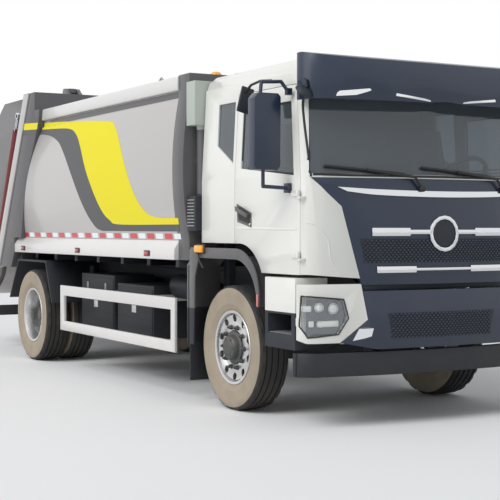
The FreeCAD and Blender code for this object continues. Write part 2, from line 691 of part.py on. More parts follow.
def drive():
    """Engine and gearbox as one plain mass, and the shaft to the rear axle."""
    engine = block("engine", (ahead("-60"), ahead("880")), ("-320", "320"), ("570", "1095"))
    gearbox = shaft("gearbox", "X", ("0", "660"), (ahead("-760"), ahead("-40")), "170")
    feet = []
    for side in (("-(rail_half - rail_wall - gap)", "-300"), ("300", "rail_half - rail_wall - gap")):
        for spot in ("60", "700"):
            feet.append(block("engine_foot", (ahead(spot), ahead(f"{spot} + 120")), side,
                              ("rail_top - rail_depth + rail_wall + gap", "rail_top - rail_depth + 90")))
    node("engine_and_gearbox", fuse("engine", engine, gearbox, *feet))
    start = (ahead("-762.5"), "0", "660")
    end = (behind("-332.5"), "0", "tyre_radius")
    node("propshaft", rod_between("propshaft", start, end, "48"))


def body_floor():
    """Load floor on cross beams and two long beams that lie on the frame's rails."""
    front = ahead("-body_front - body_wall")
    rear = sloped("body_floor")
    half = "body_half - body_wall"
    plate = slab("floor_plate", "XZ",
                 [(rear, "body_floor"), (sloped("body_floor - body_wall"), "body_floor - body_wall"),
                  (front, "body_floor - body_wall"), (front, "body_floor")],
                 minus(half), half)
    low = "rail_top + beam_height"
    pieces = [plate]
    for side in (("-rail_half", "-(rail_half - rail_flange)"), ("rail_half - rail_flange", "rail_half")):
        pieces.append(block("long_beam", (behind("sill_back"), ahead("-body_front - 60")), side,
                            ("rail_top + gap", f"{low} + 5")))
    for index in range(7):
        spot = ahead(f"-body_front - 300 - {index} * cross_pitch")
        pieces.append(block("cross_beam", (f"{spot} - 70", spot), (minus("body_half - body_wall - gap"), "body_half - body_wall - gap"),
                            (low, "body_floor - body_wall + 5")))
    node("body_floor", fuse("body_floor", *pieces))


def body_sides():
    """Curved side panels with the plain band above them, ending at the rear post's curve."""
    height = "(panel_top - sill_top) / 2"
    radius = f"(({height}) ^ 2 + body_bulge ^ 2) / (2 * body_bulge)"
    out = "-body_half"
    inn = "-(body_half - body_wall)"
    loop = [(inn, "sill_top", f"({radius})"), (out, "sill_top"), (out, "panel_top", minus(f"({radius})")),
            ("-(body_half - 16)", "panel_top"), ("-(body_half - 16)", "eave_low"), (inn, "eave_low"),
            (inn, "panel_top")]
    panel = slab("side_panel", "YZ", loop, sloped("sill_low"), ahead("-body_front - post_width - 14"))
    both_sides("body_sides", cut("side_panel", panel, rear_post_outline("side_trim", "-1400", "-900", "1500")))


def rear_post_outline(name, low, high, reach):
    """The rear post's shape seen from the side: its front edge is a long curve."""
    top = behind("-261")
    waist = behind("-210")
    foot = behind("360")
    loop = [(top, "body_top"), (waist, "panel_top"), (foot, "sill_top", "post_curve"),
            (behind("sill_back"), "sill_top"), (behind("sill_back"), "sill_low"),
            (behind("720"), "portal_low"), (sloped("portal_low", reach), "portal_low"),
            (sloped("portal_top", reach), "portal_top"), (behind("-portal_ahead"), "portal_top"),
            (behind("-portal_ahead"), "body_top")]
    return slab(name, "XZ", loop, low, high)


def rear_frame():
    """Rear portal: shaped posts, the beam above the roof and hinge lugs."""
    inn = "body_half - body_wall"
    posts = []
    for low, high in ((minus("portal_half"), minus(inn)), (inn, "portal_half")):
        posts.append(rear_post_outline("rear_post", low, high, "0"))
    loop = [(behind("-portal_ahead"), "body_top"), (sloped("body_top"), "body_top"),
            (sloped("portal_top"), "portal_top"), (behind("-portal_ahead"), "portal_top")]
    beam = slab("portal_beam", "XZ", loop, minus(f"({inn} + 5)"), f"{inn} + 5")
    loop = [(behind("sill_back + 5"), "body_floor - body_wall"), (behind("sill_back + 5"), "portal_low"),
            (sloped("portal_low"), "portal_low"), (sloped("body_floor - body_wall"), "body_floor - body_wall")]
    sill = slab("portal_sill", "XZ", loop, minus(f"({inn} + 5)"), f"{inn} + 5")
    pads = []
    for low, high in (("-rail_half", "-(rail_half - rail_flange)"), ("rail_half - rail_flange", "rail_half")):
        pads.append(block("sill_pad", (behind("rail_behind - 20"), behind("sill_back + 60")), (low, high),
                          ("rail_top + gap", "portal_low + 5")))
    node("body_rear_frame", fuse("rear_frame", *posts, beam, sill, *pads))
    loop = [(sloped("portal_low"), "portal_low"), (sloped("portal_top"), "portal_top"),
            (sloped("portal_top", "flange_depth"), "portal_top"),
            (sloped("portal_low", "flange_depth"), "portal_low")]
    ring = slab("flange", "XZ", loop, "-flange_half", "flange_half")
    rear = sloped("portal_low", "flange_depth + 400")
    front = behind("0")
    hole = block("flange_hole", (rear, front), ("-(gate_half - gate_wall)", "gate_half - gate_wall"),
                 ("body_floor", "portal_top - 90"))
    pieces = [cut("flange", ring, hole)]
    pin_height = "hinge_height"
    for spot in ("560", "700", "-600", "-740"):
        lug = slab("hinge_lug", "XZ",
                   [(behind("seam_setback + 15"), "portal_top - 20"),
                    (behind("seam_setback + flange_depth - 10"), "portal_top - 20"),
                    (behind("hinge_back + 52"), "hinge_height - 8"),
                    (behind("hinge_back + 30"), "hinge_height + 45"),
                    (behind("hinge_back - 30"), "hinge_height + 45")], spot, f"{spot} + 40")
        pieces.append(lug)
    for side in (("560", "740"), ("-740", "-560")):
        pieces.append(shaft("hinge_pin", "Y", (behind("hinge_back"), pin_height), side, "hinge_pin"))
    lug_loop = [(behind("lift_back - 150"), "lift_foot - 32"), (behind("lift_back + 10"), "lift_foot - 50"),
                (behind("lift_back + 44"), "lift_foot - 30"), (behind("lift_back + 44"), "lift_foot + 30"),
                (behind("lift_back + 5"), "lift_foot + 46"), (behind("lift_back - 150"), "lift_foot - 12")]
    for sign in ("-", ""):
        for near, far in (("lift_half - 52", "lift_half - 32"), ("lift_half + 32", "lift_half + 52")):
            ends = (minus(f"({far})"), minus(f"({near})")) if sign else (near, far)
            pieces.append(slab("lift_lug", "XZ", lug_loop, *ends))
        ends = ("-(lift_half + 52)", "-(lift_half - 52)") if sign else ("lift_half - 52", "lift_half + 52")
        pieces.append(shaft("lift_pin", "Y", (behind("lift_back"), "lift_foot"), ends, "lift_pin"))
    node("portal_flange", fuse("portal_flange", *pieces))


def body_front_frame():
    """Front wall with the posts that close the curved sides."""
    height = "(panel_top - sill_top) / 2"
    radius = f"(({height}) ^ 2 + body_bulge ^ 2) / (2 * body_bulge)"
    half = "body_half + 10"
    inner = "body_half - body_wall"
    loop = [(minus(half), "sill_low"), (half, "sill_low"), (half, "sill_top"), (half, "panel_top", radius),
            (half, "body_top + 6"), (minus(half), "body_top + 6"), (minus(half), "panel_top"),
            (minus(half), "sill_top", radius)]
    outer = slab("front_box", "YZ", loop, ahead("-body_front - post_width - 14"), ahead("-body_front"))
    loop = [(minus(inner), "sill_low - 10"), (inner, "sill_low - 10"), (inner, "sill_top"),
            (inner, "panel_top", radius), (inner, "body_top - body_wall"),
            (minus(inner), "body_top - body_wall"), (minus(inner), "panel_top"),
            (minus(inner), "sill_top", radius)]
    hollow = slab("front_hollow", "YZ", loop, ahead("-body_front - post_width - 30"),
                  ahead("-body_front - body_wall"))
    node("body_front_frame", cut("body_front", outer, hollow))


def body_rails():
    """Side rails along the floor, and the light strips and roof above."""
    front = ahead("-body_front - post_width - 14")
    inn = "-(body_half - body_wall)"
    loop = [(inn, "sill_low"), ("-sill_half", "sill_low"), ("-sill_half", "sill_crease"),
            ("-(body_half + 6)", "sill_top"), (inn, "sill_top")]
    both_sides("body_side_rails", slab("side_rail", "YZ", loop, behind("sill_back"), front))
    loop = [(inn, "eave_low"), ("-(body_half + 12)", "eave_low"), ("-(body_half + 20)", "eave_low + 12"),
            ("-(body_half + 20)", "body_top - 10"), ("-(body_half + 10)", "body_top"), (inn, "body_top")]
    strip = slab("roof_strip", "YZ", loop, behind("-200"), front)
    trim = rear_post_outline("strip_trim", "-1400", "-900", "1500")
    strip = cut("roof_strip", strip, trim)
    roof = block("roof", (behind("-261"), front), (inn, "body_half - body_wall"),
                 ("body_top - body_wall", "body_top"))
    tail = slab("roof_tail", "XZ", [(behind("-261"), "body_top - body_wall"),
                (sloped("body_top - body_wall"), "body_top - body_wall"), (sloped("body_top"), "body_top"),
                (behind("-261"), "body_top")], inn, "body_half - body_wall")
    node("body_roof", fuse("body_roof", roof, tail, strip, mirrored("roof_strip", strip)))


def ejector():
    """Push-out plate, sloped like the rear opening, on two shoes."""
    height = "(panel_top - sill_top) / 2"
    radius = f"(({height}) ^ 2 + body_bulge ^ 2) / (2 * body_bulge)"
    inner = "body_half - body_wall - push_play"
    top = "body_top - body_wall - push_play"
    low = "body_floor + push_play"
    loop = [(minus(inner), low), (inner, low), (inner, "sill_top"), (inner, "panel_top", radius),
            (inner, top), (minus(inner), top), (minus(inner), "panel_top"), (minus(inner), "sill_top", radius)]
    box = slab("push_box", "YZ", loop, ahead("-3000"), ahead("-body_front - body_wall - 5"))
    foot = ahead("-push_rest")
    lift = f"({top} - ({low})) * seam_slope"
    loop = [(foot, low), (f"{foot} + {lift}", top), (f"{foot} + {lift} + 50", top),
            (f"{foot} + 720", f"{low} + 560"), (f"{foot} + 720", low)]
    wedge = slab("push_wedge", "XZ", loop, "-1300", "1300")
    plate = common("push_plate", box, wedge)
    loop = [(f"{foot} + 90", f"{low} - 20"), (f"{foot} + {lift} + 90", f"{top} + 20"),
            (f"{foot} + 1500", f"{top} + 20"), (f"{foot} + 1500", f"{low} - 20")]
    hollows = []
    for left, right in (("-1300", "-740"), ("-660", "-40"), ("40", "660"), ("740", "1300")):
        hollows.append(slab("push_hollow", "XZ", loop, left, right))
    shell = cut("push_plate", plate, *hollows)
    shoes = []
    for side in (("-740", "-660"), ("660", "740")):
        shoes.append(block("push_shoe", (f"{foot} + 20", f"{foot} + 700"), side,
                           ("body_floor + slide_play", f"{low} + 5")))
    node("ejector_plate", fuse("ejector", shell, *shoes))


def ramp_height(radius):
    """Where the hopper's ramp, tangent at 45 degrees, meets the tailgate's front plane."""
    share = "0.70711"
    sum_at_tangent = f"(hopper_height - {share} * ({radius}) + hopper_back - {share} * ({radius}))"
    front = "(seam_setback + flange_depth + seal)"
    return f"({sum_at_tangent} - {front} - portal_top * seam_slope) / (1 - seam_slope)"


def tailgate():
    """Hopper and packer housing: side walls, curved floor and ramp, sloping cover."""
    gate = lambda height: sloped(height, "flange_depth + seal")
    outer = "(hopper_radius + hopper_wall)"
    share = "0.70711"
    lip = f"sqrt({outer} ^ 2 - (hopper_height - lip_height) ^ 2)"
    low_meet = ramp_height(outer)
    loop = [(gate("gate_top"), "gate_top"), (gate(low_meet), low_meet),
            (behind(f"hopper_back - {share} * {outer}"), f"hopper_height - {share} * {outer}"),
            (behind(f"hopper_back + {lip}"), "lip_height", minus(outer)),
            (behind("cover_back"), "cover_low"), (behind("cover_front"), "gate_top")]
    inn = "gate_half - gate_wall"
    right = slab("gate_side", "XZ", loop, "-gate_half", minus(f"({inn})"))
    boss = shaft("rod_boss", "Y", (behind("eye_back"), "eye_height"), ("-(lift_half - 32)", "-gate_half + 5"), "40")
    frame = slab("gate_rib", "XZ",
                 [(gate("gate_top - 60"), "gate_top - 60"), (gate("1250"), "1250"),
                  (f"{gate('1250')} - 70", "1250"), (f"{gate('gate_top - 60')} - 70", "gate_top - 60")],
                 "-gate_half - 8", "-gate_half + 5")
    both_sides("tailgate_sides", fuse("gate_side", right, boss, frame))
    inner = "hopper_radius"
    lip_in = f"sqrt({inner} ^ 2 - (hopper_height - lip_height) ^ 2)"
    high_meet = ramp_height(inner)
    loop = [(gate(low_meet), low_meet),
            (behind(f"hopper_back - {share} * {outer}"), f"hopper_height - {share} * {outer}"),
            (behind(f"hopper_back + {lip}"), "lip_height", minus(outer)),
            (behind(f"hopper_back + {lip_in}"), "lip_height"),
            (behind(f"hopper_back - {share} * {inner}"), f"hopper_height - {share} * {inner}", inner),
            (gate(high_meet), high_meet)]
    hopper = slab("hopper", "XZ", loop, minus(f"({inn})"), inn)
    lugs = []
    for side in (("-(lifter_half + 36)", "-(lifter_half + 6)"), ("lifter_half + 6", "lifter_half + 36")):
        lug = block("lifter_lug", (behind("lifter_back + 32"), behind(f"hopper_back + {lip_in} + 8")), side,
                    ("lifter_height - 75", "lifter_height + 32"))
        bore = round_hole("lifter_bore", "Y", (behind("lifter_back"), "lifter_height"),
                     (f"{side[0]} - 5", f"{side[1]} + 5"), "lifter_pin + play")
        lugs.append(cut("lifter_lug", lug, bore))
    node("hopper_floor", fuse("hopper", hopper, *lugs))
    wall = "cover_wall"
    loop = [(gate("gate_top"), "gate_top"), (gate(f"gate_top - {wall}"), f"gate_top - {wall}"),
            (behind("cover_front - 15"), f"gate_top - {wall}"),
            (behind("cover_back - 40"), f"cover_low - 5"), (behind("cover_back"), "cover_low"),
            (behind("cover_front"), "gate_top")]
    cover = slab("gate_cover", "XZ", loop, minus(f"({inn})"), inn)
    arms = []
    for low, high in (("606", "694"), ("-694", "-606")):
        arm = slab("gate_arm", "XZ",
                   [(behind("hinge_back + 2"), "gate_top - 10"), (behind("hinge_back + 380"), "gate_top - 10"),
                    (behind("hinge_back + 70"), "hinge_height + 30"),
                    (behind("hinge_back + 36"), "hinge_height + 48"),
                    (behind("hinge_back - 36"), "hinge_height + 48"),
                    (behind("hinge_back - 52"), "hinge_height"), (behind("hinge_back - 36"), "hinge_height - 30")],
                   low, high)
        hole = round_hole("arm_hole", "Y", (behind("hinge_back"), "hinge_height"),
                     (f"{low} - 5", f"{high} + 5"), "hinge_pin + play")
        arms.append(cut("gate_arm", arm, hole))
    node("tailgate_cover", fuse("gate_cover", cover, *arms))
    lamp = block("tail_lamp", (behind("lamp_back + 90"), behind("lamp_back")),
                 ("-(gate_half + 84)", "-(gate_half + gap)"), ("1330", "1690"))
    both_sides("tail_lamps", lamp)


def along(distance, across="0"):
    """A point in the packer's sloping frame: down the slope, and back from it."""
    run = "(seam_slope / sqrt(1 + seam_slope ^ 2))"
    rise = "(1 / sqrt(1 + seam_slope ^ 2))"
    up_back = f"(hopper_back - slide_travel * {run})"
    up_height = f"(hopper_height + slide_travel * {rise})"
    back = f"{up_back} + ({distance}) * {run} + ({across}) * {rise}"
    height = f"{up_height} - ({distance}) * {rise} + ({across}) * {run}"
    return behind(back), height


def packer():
    """Slide plate that carries the swinging blade."""
    half = "gate_half - gate_wall - slide_play"
    loop = [along("-slide_length", "-50"), along("-75", "-50"), along("-75", "50"), along("-slide_length", "50")]
    plate = slab("slide_plate", "XZ", loop, minus(f"({half})"), half)
    pieces = [plate]
    cheek = [along("-160", "-60"), along("40", "-60"), along("55", "0"), along("40", "60"), along("-160", "60")]
    for low, high in ((minus(f"({half})"), minus(f"({half} - 34)")), (f"{half} - 34", half)):
        pieces.append(slab("slide_cheek", "XZ", cheek, low, high))
    for low, high in ((minus(f"({half} - 5)"), minus(f"({half} - 74)")), (f"{half} - 74", f"{half} - 5")):
        spot = along("0")
        pieces.append(shaft("blade_pin", "Y", spot, (low, high), "30"))
    node("packer_slide", fuse("packer_slide", *pieces))
    wide = f"{half} - 40"
    loop = [along("-45", "-40"), along("300", "-10"), along("blade_length", "-60"), along("blade_length", "-30"),
            along("480", "70"), along("60", "62"), along("-20", "52")]
    blade = slab("blade", "XZ", loop, minus(f"({wide})"), wide)
    boss = shaft("blade_boss", "Y", along("0"), (minus(f"({wide})"), wide), "62")
    holes = []
    for low, high in ((minus(f"({wide} + 5)"), minus(f"({wide} - 44)")), (f"{wide} - 44", f"{wide} + 5")):
        holes.append(round_hole("blade_hole", "Y", along("0"), (low, high), "30 + play"))
    node("packer_blade", cut("packer_blade", fuse("packer_blade", blade, boss), *holes))


def bin_lifter():
    """Tipping frame that hangs behind the hopper on two pins."""
    back = "tail_overhang"
    tube = shaft("lifter_tube", "Y", (behind("lifter_back"), "lifter_height"),
                 ("-lifter_half", "lifter_half"), "30")
    pins = []
    for ends in (("-(lifter_half + 32)", "-(lifter_half - 5)"), ("lifter_half - 5", "lifter_half + 32")):
        pins.append(shaft("lifter_pin", "Y", (behind("lifter_back"), "lifter_height"), ends, "lifter_pin"))
    bars = []
    for spot in ("-lifter_half + 20", "-300", "240", "lifter_half - 80"):
        bars.append(block("lifter_arm", (behind(back), behind(f"{back} - 36")), (spot, f"{spot} + 60"),
                          ("lifter_height - 520", "lifter_height + 20")))
    rails = []
    for height in ("lifter_height - 60", "lifter_height - 520"):
        rails.append(block("lifter_rail", (behind(back), behind(f"{back} - 36")),
                           ("-lifter_half + 20", "lifter_half - 20"), (height, f"{height} + 70")))
    hooks = block("lifter_comb", (behind(back), behind(f"{back} - 60")), ("-lifter_half + 20", "lifter_half - 20"),
                  ("lifter_height + 5", "lifter_height + 30"))
    node("bin_lifter", fuse("bin_lifter", tube, *pins, *bars, *rails, hooks))


def lift_cylinders():
    """Cylinders from the portal's feet to the tailgate's upper side."""
    foot = (behind("lift_back"), "-lift_half", "lift_foot")
    eye = (behind("eye_back"), "-lift_half", "eye_height")
    a = Vector(*[size(text) for text in foot])
    b = Vector(*[size(text) for text in eye])
    way = (b - a).normalize()
    length = (b - a).Length

    def point(distance):
        spot = a + way * distance
        return [str(round(value, 4)) for value in spot]

    barrel = rod_between("barrel", point(62), point(length - size("rod_shown")), "lift_barrel")
    neck = rod_between("barrel_neck", point(30), point(80), "lift_pin")
    bore = rod_between("barrel_bore", point(150), point(length - size("rod_shown") + 10), "lift_rod + play")
    ring = shaft("barrel_eye", "Y", (foot[0], foot[2]), ("-(lift_half + 26)", "-(lift_half - 26)"), "44")
    hole = round_hole("barrel_hole", "Y", (foot[0], foot[2]), ("-(lift_half + 36)", "-(lift_half - 36)"),
                 "lift_pin + play")
    pair("lift_barrel", cut("barrel", fuse("barrel", barrel, neck, ring), bore, hole))
    rod = rod_between("rod", point(length - size("rod_shown + slide_in")), point(length - 30), "lift_rod")
    ring = shaft("rod_eye", "Y", (eye[0], eye[2]), ("-(lift_half + 26)", "-(lift_half - 24)"), "42")
    hole = round_hole("rod_hole", "Y", (eye[0], eye[2]), ("-(lift_half + 36)", "-(lift_half - 36)"), "lift_pin + play")
    pair("lift_rod", cut("rod", fuse("rod", rod, ring), hole))


def plan_loop(face, half, rear, corner):
    """Plan outline with a bowed front and round front corners, both in flats."""
    start = f"{face} - cab_bow - {CORNER[-1][0]} * ({corner})"
    chord = f"(({half}) - {CORNER[-1][1]} * ({corner}))"
    left = [(f"{start} + {run} * ({corner})", f"(({half}) - {rise} * ({corner}))") for run, rise in CORNER]
    left.append((f"{face} - cab_bow / 4", f"{chord} / 2"))
    right = [(x, minus(y)) for x, y in left]
    return [(rear, minus(f"({half})")), *right, (face, "0"), *reversed(left), (rear, half)]


def cab_form(name, inset):
    """Solid that follows the cab's outside, inset everywhere by some distance."""
    body = fresh("PartDesign::Body", name)
    half = f"cab_half - ({inset})"
    rear = ahead(f"-cab_rear + ({inset})")
    corner = f"cab_corner - ({inset})"
    levels = [("front_sill - 60", half, ahead(f"cab_face - ({inset})")),
              ("belt", half, ahead(f"cab_face - belt_back - ({inset})")),
              ("cab_roof + 60", f"{half} - lean", ahead(f"cab_face - belt_back - rake - ({inset})"))]
    sketches = []
    for height, wide, face in levels:
        sketches.append(draw(body, "XY", [plan_loop(face, wide, rear, corner)], height))
    loft = body.newObject("PartDesign::AdditiveLoft", name + "_loft")
    loft.Profile = sketches[0]
    loft.Sections = sketches[1:]
    loft.Ruled = True
    for sketch in sketches:
        sketch.Visibility = False
    half = f"cab_half + 60"
    side = f"cab_half - lean - ({inset})"
    round_ = f"roof_round - ({inset})"
    top = f"cab_roof - ({inset})"
    low = "front_sill - 50"
    edge = [(f"({side} - {run} * ({round_}))", f"{top} - {drop} * ({round_})") for run, drop in EAVE]
    loop = [(minus(f"({half})"), low), (half, low), (half, f"{top} - ({round_})"), *edge,
            *[(minus(y), z) for y, z in reversed(edge)], (minus(f"({half})"), f"{top} - ({round_})")]
    front = slab(name + "_end", "YZ", loop, ahead("-cab_rear - 60"), ahead("cab_face + 300"))
    return common(name, body, front)


def cab_profile(name, inset):
    """Cab seen from the side: its lower edge over the fender and its rear roof corner."""
    rear = ahead(f"-cab_rear + ({inset})")
    turn = ahead("arch_reach")
    sill = f"rear_sill + ({inset})"
    round_ = f"(arch_round + ({inset}))"
    door = f"door_sill + ({inset})"
    drop = f"({door} - (rear_sill - arch_round))"
    meet = ahead(f"arch_reach + sqrt({round_} ^ 2 - {drop} ^ 2)")
    top = f"cab_roof - ({inset})"
    corner = f"roof_round - ({inset})"
    loop = [(rear, sill), (turn, sill), (meet, door, minus(round_)),
            (ahead("door_front + seam + cab_wall"), door),
            (ahead("door_front + seam + cab_wall + 10"), f"front_sill + ({inset})"),
            (ahead("cab_face + 200"), f"front_sill + ({inset})"), (ahead("cab_face + 200"), top),
            (f"{rear} + {corner}", top), (rear, f"{top} - ({corner})", corner)]
    return slab(name, "XZ", loop, "-cab_half - 100", "cab_half + 100")


def door_loop(grow):
    """The door's outline seen from the side."""
    round_ = f"(arch_round - 10 - ({grow}))"
    low = f"door_sill - ({grow})"
    drop = f"({low} - (rear_sill - arch_round))"
    start = ahead(f"door_rear - ({grow})")
    lift = "(arch_reach - door_rear)"
    meet = ahead(f"arch_reach + sqrt({round_} ^ 2 - {drop} ^ 2)")
    first = f"rear_sill - arch_round + sqrt({round_} ^ 2 - ({lift} + ({grow})) ^ 2)"
    return [(start, first), (meet, low, minus(round_)), (ahead(f"door_front + ({grow})"), low),
            (ahead(f"door_front + ({grow})"), "belt"),
            (ahead(f"door_front - door_rake + ({grow})"), f"door_top + ({grow})"),
            (start, f"door_top + ({grow})")]


DOOR_GLASS = [("255", "1940"), ("1070", "1858"), ("985", "2412"), ("255", "2412")]
QUARTER_GLASS = [("-165", "2140"), ("120", "1985"), ("120", "2480"), ("-165", "2480")]


def side_window(name, spots, grow, low="-cab_half - 60", high="-cab_half + 300"):
    """A prism through one side of the cab for a window."""
    middle_x = sum(float(spot[0]) for spot in spots) / len(spots)
    middle_z = sum(float(spot[1]) for spot in spots) / len(spots)
    loop = []
    for x, z in spots:
        wide = grow if float(x) > middle_x else minus(grow)
        tall = grow if float(z) > middle_z else minus(grow)
        loop.append((ahead(f"{x} + ({wide})"), f"{z} + ({tall})"))
    return slab(name, "XZ", loop, low, high)


def screen_window(name, grow):
    half = f"screen_half + ({grow})"
    low = f"belt + 18 - ({grow})"
    top = f"screen_top + ({grow})"
    loop = [(minus(half), low), (half, low), (f"{half} - screen_taper", top),
            (minus(f"({half} - screen_taper)"), top)]
    return slab(name, "YZ", loop, ahead("900"), ahead("cab_face + 100"))


def grille_prism(name, grow):
    """The dark front's outline, seen from ahead."""
    half = [("1085", "1840"), ("970", "1729"), ("858", "1630"), ("799", "1409"), ("700", "1052 - 20")]
    right = [(f"-({y} + ({grow}))", z) for y, z in half]
    left = [(f"({y} + ({grow}))", z) for y, z in reversed(half)]
    return slab(name, "YZ", right + left, ahead("1160"), ahead("cab_face + 100"))


def door_hinges():
    """Ears with pins on the right front pillar, room for them, and the door's straps."""
    centre = (ahead("door_front + seam / 2"), "-door_pivot")
    ears = []
    notches = []
    straps = []
    for level in ("1250", "1700"):
        ears.append(shaft("hinge_pin", "Z", centre, (f"{level} - 5", f"{level} + 48"), "door_pin"))
        ears.append(block("hinge_ear", (ahead("door_front + seam / 2 - door_pin"), ahead("door_front + 45")),
                          ("-(door_pivot + door_pin)", "-(door_pivot - door_pin)"), (f"{level} - 15", level)))
        ears.append(block("hinge_ear", (ahead("door_front + seam"), ahead("door_front + 45")),
                          ("-(door_pivot - door_pin + 5)", "-(door_pivot - 40)"), (f"{level} - 15", level)))
        notches.append(round_hole("hinge_notch", "Z", centre, (f"{level} + 0.01", f"{level} + 60"), "22"))
        ring = shaft("hinge_ring", "Z", centre, (f"{level} + play", f"{level} + 44"), "16")
        strap = block("hinge_strap", (ahead("door_front - 90"), ahead("door_front - 8")),
                      ("-(cab_half + 9)", "-(cab_half - 12)"), (f"{level} + play", f"{level} + 44"))
        hole = round_hole("hinge_hole", "Z", centre, (f"{level} - 5", f"{level} + 60"), "door_pin + play * 0.8")
        straps.append(cut("hinge_strap", fuse("hinge_strap", ring, strap), hole))
    return ears, notches, straps


def cab():
    """Tilting cab: shell, dark front, windows, doors, seats and controls."""
    outer = common("cab_outer", cab_form("cab_form", "0"), cab_profile("cab_side", "0"))
    void = cab_form("cab_void", "cab_wall")
    inner = common("cab_inner", void, cab_profile("cab_inside", "cab_wall"))
    shell = cut("cab_walls", outer, inner)
    openings = []
    ring = slab("door_hole", "XZ", door_loop("seam"), "-cab_half - 60", "-cab_half + 300")
    hole = cut("door_hole", ring, cab_form("door_void", "cab_wall + seam"))
    openings.extend((hole, mirrored("door_hole", hole)))
    quarter = side_window("quarter_hole", QUARTER_GLASS, "0")
    openings.extend((quarter, mirrored("quarter_hole", quarter)))
    openings.append(screen_window("screen_hole", "0"))
    openings.append(grille_prism("grille_hole", "gap"))
    corner = slab("corner_trim", "YZ",
                  [("-cab_half - 60", "front_sill - 80"), ("-700", "front_sill - 80"),
                   ("-700", "corner_low"), ("-cab_half - 60", "corner_low + 40")],
                  ahead("door_front + seam + 2"), ahead("cab_face + 100"))
    openings.extend((corner, mirrored("corner_trim", corner)))
    arms = []
    for low, high in (("tilt_arm - 25", "tilt_arm + 25"), ("-(tilt_arm + 25)", "-(tilt_arm - 25)")):
        arm = slab("tilt_plate", "XZ",
                   [(ahead("tilt_ahead - 36"), "tilt_height - 14"), (ahead("tilt_ahead - 14"), "tilt_height - 36"),
                    (ahead("tilt_ahead + 22"), "tilt_height - 34"), (ahead("tilt_ahead + 38"), "tilt_height"),
                    (ahead("tilt_ahead + 21"), "tilt_height + 21"),
                    (ahead("tilt_ahead - 230"), "tilt_height + 272"),
                    (ahead("tilt_ahead - 305"), "tilt_height + 268")], low, high)
        bore = round_hole("tilt_bore", "Y", (ahead("tilt_ahead"), "tilt_height"),
                     (f"{low} - 5", f"{high} + 5"), "tilt_pin + play")
        arms.append(cut("tilt_arm", arm, bore))
    ears, notches, straps = door_hinges()
    for notch in notches:
        openings.extend((notch, mirrored("hinge_notch", notch)))
    for ear in ears:
        arms.extend((ear, mirrored("hinge_ear", ear)))
    node("cab_shell", fuse("cab_shell", cut("cab_shell", shell, *openings), *arms))
    node("grille_panel", common("grille_panel", cut("cab_skin", outer, inner), grille_prism("grille_area", "0")))
    pane = cut("pane", cab_form("pane_out", "glass_inset"), cab_form("pane_in", "glass_inset + glass"))
    quarter = common("quarter_pane", pane, side_window("quarter_area", QUARTER_GLASS, "-gap"))
    screen = common("screen_pane", pane, screen_window("screen_area", "-gap"))
    node("cab_windows", group("cab_windows", screen, quarter, mirrored("quarter_pane", quarter)))
    blank = slab("door_blank", "XZ", door_loop("0"), "-cab_half - 60", "-cab_half + 300")
    door = cut("door", common("door_blank", outer, blank), void, side_window("door_hole", DOOR_GLASS, "0"))
    pair("door", fuse("door", door, *straps))
    pair("door_glass", common("door_pane", pane, side_window("door_area", DOOR_GLASS, "-gap")))


